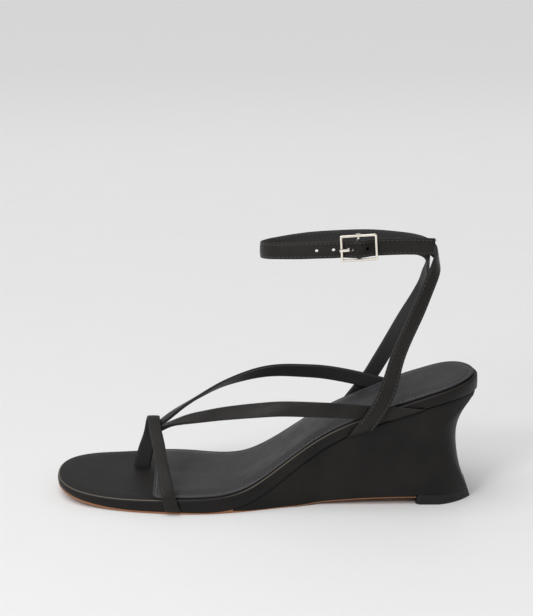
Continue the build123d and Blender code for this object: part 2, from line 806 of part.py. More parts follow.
with BuildPart() as strap_tip_lining:
    strap(strap_tip_route, ANKLE_WIDTH, PLY_THICKNESS, -PLY_LIFT)
    beyond_tip_hinge(STRAP_THICKNESS / 2, 40, Mode.INTERSECT)
save(strap_tip_lining, "strap_tip_lining")

# ---------------------------------------------------------------- buckle

CHAPE_PLY = 0.6
CHAPE_WIDTH = 7.8
CURL_WIDTH = 2.2
LOOP_RADIUS = BAR_RADIUS + RUNNING_CLEARANCE + CHAPE_PLY / 2
PLY_GAP = 0.7
FRAME_HALF = BUCKLE_DEPTH / 2
LUG_DROP = FRAME_HALF - BAR_H
RAIL_AT = BUCKLE_HEIGHT / 2 - BUCKLE_BAR / 2

with BuildPart() as chape:
    with BuildSketch(buckle_side()):
        with BuildLine() as fold:
            FilletPolyline(
                (CHAPE_END, CHAPE_H + PLY_GAP),
                (7.0, CHAPE_H + PLY_GAP),
                (1.6, BAR_H + LOOP_RADIUS),
                (-LOOP_RADIUS, BAR_H + LOOP_RADIUS),
                (-LOOP_RADIUS, BAR_H - LOOP_RADIUS),
                (3.0, BAR_H - LOOP_RADIUS),
                (6.5, CHAPE_H - PLY_GAP),
                (CHAPE_END, CHAPE_H - PLY_GAP),
                radius=[3.0, 1.5, LOOP_RADIUS - 0.02, LOOP_RADIUS - 0.02, 2.5, 2.5],
            )
        trace(fold.line, CHAPE_PLY)
    extrude(amount=CHAPE_WIDTH / 2, both=True)
    with BuildSketch(buckle_side()):
        with Locations((0, BAR_H)):
            Rectangle(4.4, 4.4)
    extrude(amount=CURL_WIDTH / 2 + 0.4, both=True, mode=Mode.SUBTRACT)
save(chape, "chape")

with BuildPart() as chape_stitching:
    with BuildSketch(buckle_plane(CHAPE_H - PLY_GAP - CHAPE_PLY / 2)):
        with Locations(((CHAPE_END + TIP_HINGE) / 2, 0)):
            Rectangle(CHAPE_END - TIP_HINGE - 1.6, CHAPE_WIDTH - 2.4)
            offset(amount=-THREAD, kind=Kind.INTERSECTION, mode=Mode.SUBTRACT)
    extrude(amount=-THREAD)
save(chape_stitching, "chape_stitching")

with BuildPart() as buckle_frame:
    with BuildSketch(buckle_plane(-FRAME_HALF)):
        with Locations((0, FRAME_RISE)):
            RectangleRounded(BUCKLE_LENGTH, BUCKLE_HEIGHT, 1.1)
            RectangleRounded(
                BUCKLE_LENGTH - 2 * BUCKLE_BAR, BUCKLE_HEIGHT - 2 * BUCKLE_BAR, 0.5, mode=Mode.SUBTRACT
            )
    extrude(amount=BUCKLE_DEPTH)
    fillet(buckle_frame.edges().filter_by(lambda edge: edge.length > 3), 0.4)
    with BuildSketch(buckle_plane(BAR_H - 1.3)):
        with Locations((0, FRAME_RISE + RAIL_AT), (0, FRAME_RISE - RAIL_AT)):
            Rectangle(2.6, BUCKLE_BAR)
    extrude(amount=LUG_DROP + 1.3 - 0.6)
    with BuildSketch(buckle_side().offset(-FRAME_RISE)):
        with Locations((0, BAR_H)):
            Circle(BAR_RADIUS)
    extrude(amount=RAIL_AT + 0.3, both=True, mode=Mode.SUBTRACT)
save(buckle_frame, "buckle_frame")

with BuildPart() as buckle_bar:
    with BuildSketch(buckle_side().offset(-FRAME_RISE)):
        with Locations((0, BAR_H)):
            Circle(BAR_RADIUS)
    extrude(amount=RAIL_AT + 0.3, both=True)
save(buckle_bar, "buckle_bar")

PRONG_REST_H = FRAME_HALF + 0.15 + PRONG_THICKNESS / 2

with BuildPart() as buckle_prong:
    with BuildSketch(buckle_side()):
        with Locations((0, BAR_H)):
            Circle(BAR_RADIUS + RUNNING_CLEARANCE + CURL_THICKNESS)
            Circle(BAR_RADIUS + RUNNING_CLEARANCE, mode=Mode.SUBTRACT)
    extrude(amount=CURL_WIDTH / 2, both=True)
    with BuildSketch(buckle_side()):
        with BuildLine() as arm:
            FilletPolyline(
                (-1.0, BAR_H),
                (-3.7, BAR_H + 0.05),
                (-5.7, 1.0),
                (-BUCKLE_LENGTH / 2 - 0.5, PRONG_REST_H),
                radius=0.7,
            )
        trace(arm.line, PRONG_THICKNESS)
    extrude(amount=PRONG_WIDTH / 2, both=True)
save(buckle_prong, "buckle_prong")
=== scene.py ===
"""Looks for the wedge sandal: leather straps, padded insock, wrapped footbed, wedge and buckle.

Lengths in the tables and builders are millimetres in the drawing's own frame, as in the part's
source; put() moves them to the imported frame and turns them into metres.
"""

import json
import math

import bmesh
import bpy
import numpy as np
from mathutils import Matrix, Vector
from mathutils.geometry import delaunay_2d_cdt


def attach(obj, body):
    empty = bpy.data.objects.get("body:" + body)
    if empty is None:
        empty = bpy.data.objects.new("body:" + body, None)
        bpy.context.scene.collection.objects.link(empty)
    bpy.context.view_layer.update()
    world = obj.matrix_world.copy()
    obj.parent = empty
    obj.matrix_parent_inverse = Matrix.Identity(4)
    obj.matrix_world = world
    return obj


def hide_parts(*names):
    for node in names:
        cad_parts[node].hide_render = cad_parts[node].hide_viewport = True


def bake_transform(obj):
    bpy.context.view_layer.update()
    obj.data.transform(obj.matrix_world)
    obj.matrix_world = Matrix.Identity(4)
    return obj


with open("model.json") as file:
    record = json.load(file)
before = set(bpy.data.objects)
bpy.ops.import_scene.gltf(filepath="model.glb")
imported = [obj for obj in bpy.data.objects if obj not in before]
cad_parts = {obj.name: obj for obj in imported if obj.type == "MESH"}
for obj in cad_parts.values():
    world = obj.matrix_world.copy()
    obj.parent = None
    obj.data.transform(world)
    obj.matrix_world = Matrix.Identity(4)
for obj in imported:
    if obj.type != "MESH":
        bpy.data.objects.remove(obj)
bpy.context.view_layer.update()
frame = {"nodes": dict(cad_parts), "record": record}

MM = 0.001
TO_ORIGIN = np.array([0.4, -2.9, 0.0])
UP = (0.0, 0.0, 1.0)
FORWARD = (-1.0, 0.0, 0.0)

# ---------------------------------------------------------------- sizes and routes

FOOTBED_THICKNESS, TOE_THINNING, HEEL_THICKENING, ARCH_THICKENING = 6.2, 2.3, 2.0, 2.4
TOE_SPRING, TOE_X, BALL_X = 5.5, -122.0, -75.0
OUTSOLE_THICKNESS = 1.1
ANKLE_WIDTH, INSTEP_WIDTH, TOE_WIDTH = 9.0, 8.7, 7.6
STRAP_THICKNESS = 2.0

BUCKLE_AT = np.array([51.2, -19.7, 149.6])
BUCKLE_TILT = math.radians(3.5)
BUCKLE_ALONG = np.array([math.cos(BUCKLE_TILT), 0.0, math.sin(BUCKLE_TILT)])
BUCKLE_RISE = np.array([-math.sin(BUCKLE_TILT), 0.0, math.cos(BUCKLE_TILT)])
OUTWARD = np.array([0.0, -1.0, 0.0])
TIP_HINGE, CHAPE_H, CHAPE_END = 12.0, -4.5, 19.5

SOLE = [
    (-122.2, 6), (-119.2, -10.8), (-110.6, -22.2), (-95.4, -30), (-75, -35.5), (-50, -38.8),
    (-30, -38.2), (-10, -34.2), (10, -28.6), (30, -26), (60, -25.5), (85, -25.5),
    (102, -22.8), (114, -14.5), (121.3, 0), (114, 14.5), (102, 22.8), (85, 25.5),
    (60, 25.5), (30, 26), (10, 28.6), (-10, 33.8), (-30, 39), (-50, 44), (-70, 46.8),
    (-90, 46.4), (-105, 41.5), (-116, 31), (-121, 19),
]  # fmt: skip
FOREFOOT = (-128, -115, -102, -90, -75, -50, -26)
RAMP = [
    (-10, 4.6), (0, 9.9), (10, 17), (20, 24.9), (30, 32.4), (40, 38.6), (50, 43.5),
    (62, 48.3), (75, 53), (90, 58.1), (105, 61.6), (122, 63.4), (130, 63.8),
]  # fmt: skip

TOE_ROUTE = [
    (-52.2, -40, 0.5, 0), (-53.6, -40.1, 5, 0), (-54.9, -39.7, 10, 0), (-56.4, -36.6, 15.5, 0),
    (-58.2, -29.4, 21.6, 0), (-60.2, -20.4, 26.4, 0), (-61.9, -11, 30.7, 0), (-63.8, -2, 34.8, 0),
    (-65.4, 6, 38.4, 0), (-66.2, 12.5, 40.5, 0), (-66.9, 17.6, 38.8, 0), (-68, 20.3, 33, 0),
    (-69.2, 20.8, 26.5, 0), (-71.2, 20.7, 20, 0), (-72.8, 20.4, 14, 0), (-74, 20.1, 8, 0),
    (-74.3, 20.1, 3, 0),
]  # fmt: skip
LATERAL_INSTEP_ROUTE = [
    (-67.8, 12.1, 32.4, 86), (-65, 11.7, 33.4, 84), (-60.8, 10.4, 35.4, 80), (-56.5, 7.8, 38.2, 76),
    (-50.3, 2, 42.3, 70), (-38.3, -7, 47.5, 58), (-26.6, -14, 51.6, 48), (-15, -19, 54.5, 39),
    (-3.7, -22.2, 56.6, 31), (7.6, -24.2, 58, 25), (18.9, -25.4, 58.3, 18), (30, -26.2, 58.2, 11),
    (41, -26.6, 57.9, 5), (52, -26.8, 57.2, 0), (63.5, -26.8, 56.6, 0), (75, -26.8, 55.6, 0),
    (90, -26.8, 54, 0),
]  # fmt: skip
MEDIAL_INSTEP_ROUTE = [
    (90, 26.8, 50, 0), (78, 26.8, 53.6, 0), (67, 26.8, 57, 0), (55.3, 26.8, 60, 2),
    (43.5, 26.6, 62.6, 5), (31.6, 26, 64.6, 10), (19.7, 24.8, 65.7, 16), (8, 23, 66.5, 23),
    (-3.8, 21, 65.8, 33), (-15.6, 18.9, 63.2, 46), (-27.3, 17, 59.2, 60), (-39.1, 16, 52.8, 72),
    (-51, 15.2, 45.4, 80), (-56.9, 13.9, 41.3, 84), (-61, 13, 38.4, 86), (-65, 12.7, 36.2, 86),
    (-67.8, 12.7, 35.2, 86),
]  # fmt: skip
LATERAL_ANKLE_RISE = [
    (47.5, -27.2, 36, 0), (51.2, -28.2, 42, 0), (56.6, -29.3, 49.8, 0), (61.7, -29.7, 57.8, 0),
    (66.1, -29.8, 66, 0), (69.6, -29.7, 77, 0), (72.6, -28.8, 88.2, 0), (77, -26.8, 99.3, 0),
    (82.2, -24, 110.2, 6), (87, -20.6, 120.3, 14), (91.4, -15.6, 129.4, 22), (94.9, -9.2, 135.8, 24),
    (96.5, -2, 139.4, 14),
]  # fmt: skip
ANKLE_LOOP = [
    (95.8, 5.4, 142.2, 5), (90.2, 11.4, 145.2, 0), (76, 14.6, 147.6, 0), (60, 16.2, 148.5, 0),
    (42, 16.6, 148, 0), (24, 15.7, 146.9, 0), (8.5, 12.6, 145.2, 0), (-0.6, 6.5, 144.6, 0),
    (-2.8, -0.5, 145, 0), (-0.2, -7, 145.8, 0), (8, -12.4, 146.9, 0), (19, -15.9, 147.8, 0),
    (30, -17.2, 148.5, 0),
]  # fmt: skip
MEDIAL_ANKLE_FALL = [
    (78, -13.7, 150.2), (85, -11, 148.8), (89.3, -6.8, 146), (91.3, -1.4, 142), (91.9, 4.6, 137.2),
    (92.1, 10.4, 131.2), (91.1, 15.4, 124.6), (89.6, 19.8, 117), (86.3, 23.4, 108.3), (81.8, 26.2, 99.4),
    (77.2, 28.2, 90), (71.2, 29.4, 78.4), (66.2, 29.8, 69.4), (61, 29.7, 60.6), (55, 29.3, 52.4),
    (48, 28.2, 43.6), (43, 27.2, 37),
]  # fmt: skip


def at_buckle(along, h):
    """Point in the buckle's own frame: along the strap, and outwards from its middle plane."""
    return tuple(BUCKLE_AT + BUCKLE_ALONG * along + OUTWARD * h)


WAVE_HALF = 9.65
STRAP_UNDER_H, STRAP_OVER_H = -2.4, 0.8


def buckle_wave(along):
    """The strap runs under the left bar, over the centre bar and under the right bar."""
    wave = 0.5 + 0.5 * math.cos(math.pi * along / WAVE_HALF)
    return STRAP_UNDER_H + (STRAP_OVER_H - STRAP_UNDER_H) * wave


WAVE_STATIONS = (-WAVE_HALF, -7.2, -4.8, -2.4, 0, 2.4, 4.8, 7.2, WAVE_HALF)
BUCKLE_PASS = [at_buckle(-12.5, STRAP_UNDER_H)] + [at_buckle(s, buckle_wave(s)) for s in WAVE_STATIONS]
TIP_ROUTE = [at_buckle(TIP_HINGE, STRAP_UNDER_H), (74, -17.4, 150.8), (84, -16, 150.5), (93.2, -13.4, 149.6)]
LATERAL_ANKLE_ROUTE = LATERAL_ANKLE_RISE + ANKLE_LOOP + [(*q, 0) for q in BUCKLE_PASS + TIP_ROUTE]
MEDIAL_ANKLE_ROUTE = [at_buckle(CHAPE_END + 0.6, CHAPE_H)] + MEDIAL_ANKLE_FALL

# ---------------------------------------------------------------- curves


def unit(v):
    return v / np.linalg.norm(v, axis=-1, keepdims=True)


def spline(points, closed=False):
    """Cubic spline through the points, as a function of the length along its chords, with the
    length at each point."""
    p = np.array(points, float)
    if closed:
        p = np.vstack([p, p[:1]])
    n = len(p)
    h = np.linalg.norm(np.diff(p[:, :3], axis=0), axis=1)
    knots = np.concatenate([[0], np.cumsum(h)])
    slope = np.diff(p, axis=0) / h[:, None]
    a, b = np.zeros((n, n)), np.zeros_like(p)
    for i in range(1, n - 1):
        a[i, i - 1 : i + 2] = h[i - 1], 2 * (h[i - 1] + h[i]), h[i]
        b[i] = 6 * (slope[i] - slope[i - 1])
    a[0, 0] = a[-1, -1] = 1
    if closed:
        a[0, -1] = -1
        a[-1] = 0
        a[-1, 0], a[-1, 1], a[-1, -1], a[-1, -2] = 2 * h[0], h[0], 2 * h[-1], h[-1]
        b[-1] = 6 * (slope[0] - slope[-1])
    m = np.linalg.solve(a, b)

    def at(s):
        s = np.atleast_1d(np.asarray(s, float))
        if closed:
            s = np.mod(s, knots[-1])
        i = np.clip(np.searchsorted(knots, s, side="right") - 1, 0, n - 2)
        u, v, w = (s - knots[i])[:, None], (knots[i + 1] - s)[:, None], h[i][:, None]
        bend = (m[i] * v**3 + m[i + 1] * u**3) / (6 * w)
        return bend + (p[i] / w - m[i] * w / 6) * v + (p[i + 1] / w - m[i + 1] * w / 6) * u

    return at, knots


def toe_spring(x):
    return TOE_SPRING * (max(0.0, BALL_X - x) / (BALL_X - TOE_X)) ** 2


def thickness(x):
    """The footbed thins towards the toe and thickens before the arch and at the back of the heel."""
    toe = np.clip((BALL_X - x) / (BALL_X - TOE_X), 0, 1)
    heel = np.clip((x - 85) / 35, 0, 1)
    thickening = ARCH_THICKENING * np.exp(-(((x + 20) / 42) ** 2)) + HEEL_THICKENING * heel**2
    return FOOTBED_THICKNESS - TOE_THINNING * toe**1.5 + thickening


joint_at, joint_knots = spline([(x, toe_spring(x) + OUTSOLE_THICKNESS) for x in FOREFOOT] + RAMP)
joint_s = np.linspace(0, joint_knots[-1], 900)
joint_points = joint_at(joint_s)
joint_along = unit(np.gradient(joint_points, axis=0))


def level(x, fraction, above=0.0):
    """Height of a level of the footbed at x: a fraction of its thickness, and millimetres more."""
    rise = thickness(joint_points[:, 0]) * fraction + above
    xs = joint_points[:, 0] - joint_along[:, 1] * rise
    return np.interp(x, xs, joint_points[:, 1] + joint_along[:, 0] * rise)


def resampled(points, step):
    """A closed line of points at even steps, with the inward direction at each."""
    p = np.vstack([points, points[:1]])
    run = np.concatenate([[0], np.cumsum(np.linalg.norm(np.diff(p, axis=0), axis=1))])
    s = np.linspace(0, run[-1], int(round(run[-1] / step)), endpoint=False)
    q = np.stack([np.interp(s, run, p[:, i]) for i in range(2)], 1)
    along = unit(np.roll(q, -2, 0) - np.roll(q, 2, 0))
    return q, np.stack([-along[:, 1], along[:, 0]], 1)


def sole_outline(inset=0.0, step=1.2):
    at, knots = spline(SOLE, closed=True)
    q, inward = resampled(at(np.linspace(0, knots[-1], 3000, endpoint=False)), step)
    return q + inward * inset, inward


# ---------------------------------------------------------------- meshes


def put(name, verts, faces, material, smooth_angle=50, body="sandal", rim=None):
    """Makes a mesh piece from millimetre points, with an optional 0 to 1 value towards its rim."""
    mesh = bpy.data.meshes.new(name)
    verts = (np.asarray(verts, float) + TO_ORIGIN) * MM
    mesh.from_pydata(verts.tolist(), [], [tuple(int(i) for i in f) for f in faces])
    if rim is not None:
        mesh.attributes.new("rim", "FLOAT", "POINT").data.foreach_set("value", np.asarray(rim, np.float32))
    mesh.validate()
    bm = bmesh.new()
    bm.from_mesh(mesh)
    bmesh.ops.recalc_face_normals(bm, faces=bm.faces)
    bm.to_mesh(mesh)
    bm.free()
    mesh.shade_smooth()
    mesh.set_sharp_from_angle(angle=math.radians(smooth_angle))
    mesh.materials.append(material)
    piece = bpy.data.objects.new(name, mesh)
    bpy.context.scene.collection.objects.link(piece)
    if body:
        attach(piece, body)
    return piece


def strips(rows, columns, wrap=True, start=0):
    """Quads between rings of points."""
    faces = []
    for r in range(rows - 1):
        for c in range(columns if wrap else columns - 1):
            a, b = start + r * columns + c, start + r * columns + (c + 1) % columns
            faces.append((a, b, b + columns, a + columns))
    return faces


def inside(points, polygon):
    x, y = points[:, 0], points[:, 1]
    hit = np.zeros(len(points), bool)
    for (x0, y0), (x1, y1) in zip(polygon, np.roll(polygon, -1, 0)):
        if y0 != y1:
            hit ^= ((y0 > y) != (y1 > y)) & (x < (x1 - x0) * (y - y0) / (y1 - y0) + x0)
    return hit


def to_edge(points, edge):
    """Distance of each point from a dense closed line."""
    return np.array([np.sqrt(((edge - q) ** 2).sum(1).min()) for q in points])


def fill(ring, spacing):
    """Triangles that fill a closed ring, with new points on a grid inside it."""
    low, high = ring.min(0), ring.max(0)
    xs = np.arange(low[0], high[0], spacing)
    ys = np.arange(low[1], high[1], spacing * 0.87)
    grid = np.array([(x + (j % 2) * spacing / 2, y) for j, y in enumerate(ys) for x in xs])
    grid = grid[inside(grid, ring)]
    grid = grid[to_edge(grid, ring) > spacing * 0.55]
    n = len(ring)
    every = [Vector(q) for q in np.vstack([ring, grid])]
    found = delaunay_2d_cdt(every, [(i, (i + 1) % n) for i in range(n)], [], 1, 1e-7)
    order = [ids[0] for ids in found[3]]
    return grid, [tuple(order[i] for i in f) for f in found[2]]


def smooth(value, low, high):
    t = np.clip((value - low) / (high - low), 0, 1)
    return t * t * (3 - 2 * t)


def inner_rise(x, y, z):
    """The footbed's upper part stands higher along the arch's inner side and round the heel."""
    arch = 0.5 * smooth(x, -95, -60) * (1 - smooth(x, -50, -10)) * smooth(y, 0, 38)
    heel = smooth(x, 55, 80) * smooth(y, -10, 20) + 1.8 * smooth(x, 88, 115) * smooth(y, -16, 14)
    return (arch + heel) * np.clip((z - level(x, 0)) / thickness(x), 0, 1)


def slab(name, edge, inward, rows, material, top, bottom, spacing=2.6, **more):
    """A closed pad with an outline: rows are (inset, height function, rim value) from under to
    over, and top and bottom give the heights of the filled faces from points and their edge distance."""
    points, rim, n = [], [], len(edge)
    for inset, height, mark in rows:
        q = edge + inward * inset
        points.append(np.column_stack([q, height(q[:, 0])]))
        rim += [mark] * n
    faces = strips(len(rows), n)
    for ring, shape, base in ((points[0], bottom, 0), (points[-1], top, (len(rows) - 1) * n)):
        grid, tris = fill(ring[:, :2], spacing)
        first = sum(len(p) for p in points)
        distance = to_edge(grid, edge)
        points.append(np.column_stack([grid, shape(grid[:, 0], grid[:, 1], distance)]))
        rim += [0.0] * len(grid)
        faces += [tuple(base + i if i < n else first + i - n for i in f) for f in tris]
    points = np.vstack(points)
    points[:, 2] += inner_rise(*points.T)
    return put(name, points, faces, material, rim=rim, **more)


def frames(route, step=1.0, reference=UP, first=None, last=None):
    """Points along a strap with the directions along it, out of its face and across it."""
    route = [tuple(p) + (0,) * (4 - len(p)) for p in route]
    at, knots = spline(route)
    first = 0.0 if first is None else first
    last = knots[-1] if last is None else last
    s = np.linspace(first, last, int(abs(last - first) / step) + 2)
    q = at(s)
    along = unit((at(s + 0.05) - at(s - 0.05))[:, :3])
    side = unit(np.cross(along, reference))
    roll = np.radians(q[:, 3:])
    face = side * np.cos(roll) + np.cross(side, along) * np.sin(roll)
    across = np.cross(face, along)
    return {"s": s, "at": q[:, :3], "along": along, "face": face, "across": across, "knots": knots}


def ply_section(width, low, high, crown, corner):
    """Rounded section of one ply: (across, out) points, counter-clockwise."""
    half = width / 2
    points = []
    for a in np.radians([-90, -60, -30, 0, 30, 60, 90]):
        r_low, r_high = corner * 0.8, corner
        r = r_low if a < 0 else r_high
        middle = low + r_low if a < 0 else high - crown - r_high
        points.append((half - r + r * math.cos(a) if a else half, middle + r * math.sin(a)))
    top = [(half * f, high - crown * abs(f) ** 2.5) for f in (0.72, 0.48, 0.24, 0, -0.24, -0.48, -0.72)]
    left = [(-x, z) for x, z in reversed(points)]
    under = [(half * f, low) for f in (-0.6, -0.2, 0.2, 0.6)]
    return np.array(points + top + left + under)


def sweep(path, section, start_round=0.5, end_round=0.5, narrow=None):
    """Rings of the section along a path, closed at both ends with a small dome."""
    n = len(section)
    middle = section.mean(0)
    rings = []
    dome = [(1.0, 0.0), (0.75, 0.45), (0.4, 0.78), (0.0, 1.0)]

    def ring(i, shrink, ahead):
        width = 1.0 if narrow is None else narrow[i]
        sec = middle + (section - middle) * np.array([1 - shrink * 0.12, 1 - shrink * 0.55])
        origin = path["at"][i] + path["along"][i] * ahead
        return origin + path["across"][i] * sec[:, :1] * width + path["face"][i] * sec[:, 1:]

    if start_round:
        rings += [ring(0, 1 - f, -start_round * (1 - f)) for f, _ in reversed(dome[:-1])][:2]
    rings += [ring(i, 0, 0) for i in range(len(path["at"]))]
    if end_round:
        rings += [ring(len(path["at"]) - 1, 1 - f, end_round * (1 - f)) for f, _ in dome[1:-1]]
    verts = np.vstack(rings)
    faces = strips(len(rings), n)
    for base, order in ((0, -1), ((len(rings) - 1) * n, 1)):
        faces.append(tuple(base + i for i in range(n))[::order])
    reach = np.abs(section[:, 0])
    rim = np.tile(np.clip((reach / reach.max() - 0.8) * 5, 0, 1), len(rings))
    return verts, faces, rim


# ---------------------------------------------------------------- materials


def principled(name, colour, roughness, **settings):
    material = bpy.data.materials.new(name)
    material.use_nodes = True
    tree = material.node_tree
    shader = tree.nodes["Principled BSDF"]
    shader.inputs["Base Color"].default_value = (*colour, 1)
    shader.inputs["Roughness"].default_value = roughness
    for socket, value in settings.items():
        shader.inputs[socket.replace("_", " ")].default_value = value
    return material, tree, shader


def node(tree, kind, inputs=(), **settings):
    made = tree.nodes.new(kind)
    for key, value in settings.items():
        setattr(made, key, value)
    for socket, value in dict(inputs).items():
        if isinstance(value, bpy.types.NodeSocket):
            tree.links.new(value, made.inputs[socket])
        else:
            made.inputs[socket].default_value = value
    return made


def ramp(tree, value, low, high, out_low=0.0, out_high=1.0):
    return node(
        tree,
        "ShaderNodeMapRange",
        {"Value": value, "From Min": low, "From Max": high, "To Min": out_low, "To Max": out_high},
    ).outputs["Result"]


def math_node(tree, operation, a, b):
    return node(tree, "ShaderNodeMath", {0: a, 1: b}, operation=operation).outputs[0]


def mixed(tree, factor, a, b):
    mix = node(tree, "ShaderNodeMix", {"Factor": factor, 6: a, 7: b}, data_type="RGBA")
    return mix.outputs[2]


# where along the shoe, in metres, the painted highlight line on the footbed's top edge fades out and in: it
# is hidden from the toe strap to the arch, and ends at the ankle strap's root
PAINTED_HIGHLIGHT_TOE_END = (-0.064, -0.056)
PAINTED_HIGHLIGHT_ARCH_START = (-0.024, -0.006)
PAINTED_HIGHLIGHT_ARCH_END = (0.042, 0.062)


def leather(
    name,
    colour,
    worn,
    roughness,
    grain=1.0,
    depth=0.16,
    cloud=0.35,
    edge=None,
    creases=1.6,
    patch=0.08,
    **settings,
):
    """Pebbled leather: fine cells and pores, slow clouds of tone, paler towards the rim value: rubbed
    edges on the straps, a painted highlight on the footbed's top edge. edge is the colour of a painted
    highlight line along the footbed's top edge, creases and patch how strong the folds and shiny patches
    are."""

    def noise(scale, detail):
        inputs = {"Vector": place, "Scale": scale, "Detail": detail}
        return node(tree, "ShaderNodeTexNoise", inputs)

    material, tree, shader = principled(name, colour, roughness, **settings)
    place = node(tree, "ShaderNodeTexCoord").outputs["Object"]
    warp = noise(420 / grain, 2.0).outputs["Color"]
    bent = node(tree, "ShaderNodeVectorMath", {0: warp, 1: (0.0008,) * 3}, operation="MULTIPLY").outputs[0]
    bent = node(tree, "ShaderNodeVectorMath", {0: place, 1: bent}, operation="ADD").outputs[0]
    cells = {"Vector": bent, "Scale": 1250 / grain}
    cells = node(tree, "ShaderNodeTexVoronoi", cells, feature="DISTANCE_TO_EDGE")
    cell = ramp(tree, cells.outputs["Distance"], 0.0, 0.16)
    pores = noise(2600 / grain, 3.0).outputs["Fac"]
    slow = noise(38.0, 4.0).outputs["Fac"]
    folds = noise(95.0, 2.0).outputs["Fac"]
    rim = node(tree, "ShaderNodeAttribute", attribute_name="rim").outputs["Fac"]
    tone = ramp(tree, slow, 0.36, 0.68, 0.0, cloud)
    # paler towards the rim value: wear on the strap edges, and a painted highlight along the footbed's top
    # edge
    tone = math_node(tree, "ADD", tone, math_node(tree, "MULTIPLY", rim, 0.5))
    tone = math_node(tree, "MULTIPLY", tone, ramp(tree, cell, 0.0, 1.0, 0.55, 1.0))
    shade = mixed(tree, tone, (*colour, 1), (*worn, 1))
    # painted highlight: the pale edge colour along the footbed's top edge, only where the x ramps let it
    # show
    if edge:
        x = node(tree, "ShaderNodeSeparateXYZ", {0: place}).outputs[0]
        at_toe = ramp(tree, x, *PAINTED_HIGHLIGHT_TOE_END, 1.0, 0.0)
        painted_highlight = math_node(tree, "ADD", at_toe, ramp(tree, x, *PAINTED_HIGHLIGHT_ARCH_START, 0.0, 1.0))
        painted_highlight = math_node(tree, "MULTIPLY", painted_highlight, ramp(tree, x, *PAINTED_HIGHLIGHT_ARCH_END, 1.0, 0.0))
        painted_highlight = math_node(tree, "MULTIPLY", painted_highlight, ramp(tree, rim, 0.6, 1.0))
        shade = mixed(tree, painted_highlight, shade, (*edge, 1))
    tree.links.new(shade, shader.inputs["Base Color"])
    patches = ramp(tree, slow, 0.3, 0.7, roughness - patch, roughness + patch)
    rough = math_node(tree, "ADD", patches, ramp(tree, cell, 0.0, 1.0, 0.08, 0.0))
    tree.links.new(rough, shader.inputs["Roughness"])
    height = math_node(tree, "MULTIPLY", cell, 0.5)
    height = math_node(tree, "ADD", height, math_node(tree, "MULTIPLY", pores, 0.35))
    height = math_node(tree, "ADD", height, math_node(tree, "MULTIPLY", folds, creases))
    bump = node(tree, "ShaderNodeBump", {"Height": height, "Strength": depth * 4, "Distance": 0.00012})
    tree.links.new(bump.outputs["Normal"], shader.inputs["Normal"])
    return material


def metal(name, colour, roughness):
    """Plated metal: fine polishing lines and a little tarnish."""
    material, tree, shader = principled(name, colour, roughness, Metallic=1.0)
    place = node(tree, "ShaderNodeTexCoord").outputs["Object"]
    stretched = {"Vector": place, "Scale": (180.0, 1500.0, 3200.0)}
    stretched = node(tree, "ShaderNodeMapping", stretched).outputs[0]
    lines = {"Vector": stretched, "Scale": 1.0, "Detail": 3.0}
    lines = node(tree, "ShaderNodeTexNoise", lines).outputs["Fac"]
    stain = {"Vector": place, "Scale": 240.0, "Detail": 4.0}
    stain = node(tree, "ShaderNodeTexNoise", stain).outputs["Fac"]
    tarnish = tuple(c * 0.62 for c in colour)
    shade = mixed(tree, ramp(tree, stain, 0.42, 0.75, 0.0, 0.5), (*colour, 1), (*tarnish, 1))
    tree.links.new(shade, shader.inputs["Base Color"])
    rough = ramp(tree, lines, 0.3, 0.7, roughness - 0.05, roughness + 0.08)
    tree.links.new(rough, shader.inputs["Roughness"])
    bump = node(tree, "ShaderNodeBump", {"Height": lines, "Strength": 0.12, "Distance": 0.00005})
    tree.links.new(bump.outputs["Normal"], shader.inputs["Normal"])
    return material


def speckled(name, colour, other, roughness, scale, depth=0.3, **settings):
    """Plain worked material: board, rubber, foam, cork or thread, with its own grain."""
    material, tree, shader = principled(name, colour, roughness, **settings)
    place = node(tree, "ShaderNodeTexCoord").outputs["Object"]
    fine = {"Vector": place, "Scale": scale, "Detail": 5.0}
    fine = node(tree, "ShaderNodeTexNoise", fine).outputs["Fac"]
    slow = {"Vector": place, "Scale": scale / 14, "Detail": 3.0}
    slow = node(tree, "ShaderNodeTexNoise", slow).outputs["Fac"]
    both = math_node(tree, "MULTIPLY", fine, 0.6)
    both = math_node(tree, "ADD", both, math_node(tree, "MULTIPLY", slow, 0.4))
    shade = mixed(tree, ramp(tree, both, 0.35, 0.65), (*colour, 1), (*other, 1))
    tree.links.new(shade, shader.inputs["Base Color"])
    rough = ramp(tree, fine, 0.3, 0.7, roughness - 0.07, roughness + 0.07)
    tree.links.new(rough, shader.inputs["Roughness"])
    bump = node(tree, "ShaderNodeBump", {"Height": fine, "Strength": depth, "Distance": 0.0002})
    tree.links.new(bump.outputs["Normal"], shader.inputs["Normal"])
    return material


BLACK = (0.0066, 0.0060, 0.0057)
RUBBED = (0.026, 0.0235, 0.0215)
WARM = (1.0, 0.97, 0.94, 1.0)
strap_leather = leather(
    "strap_leather",
    BLACK,
    RUBBED,
    roughness=0.31,
    grain=0.9,
    depth=0.32,
    cloud=0.55,
    patch=0.05,
    Specular_IOR_Level=0.26,
    Specular_Tint=WARM,
)
sole_leather = leather(
    "sole_leather",
    (0.0062, 0.0054, 0.0050),
    (0.028, 0.025, 0.023),
    roughness=0.42,
    depth=0.18,
    # edge: the colour of the painted highlight line on the footbed's top edge
    edge=(0.17, 0.145, 0.11),
    creases=2.5,
    Specular_IOR_Level=0.2,
)
insock_leather = leather(
    "insock_leather",
    (0.010, 0.010, 0.012),
    (0.040, 0.039, 0.043),
    roughness=0.42,
    grain=0.8,
    depth=0.3,
    cloud=0.6,
    creases=7.0,
    patch=0.17,
    Specular_IOR_Level=0.55,
)
lining_leather = leather("lining", (0.012, 0.011, 0.012), (0.026, 0.024, 0.024), 0.55, grain=0.8, depth=0.1)
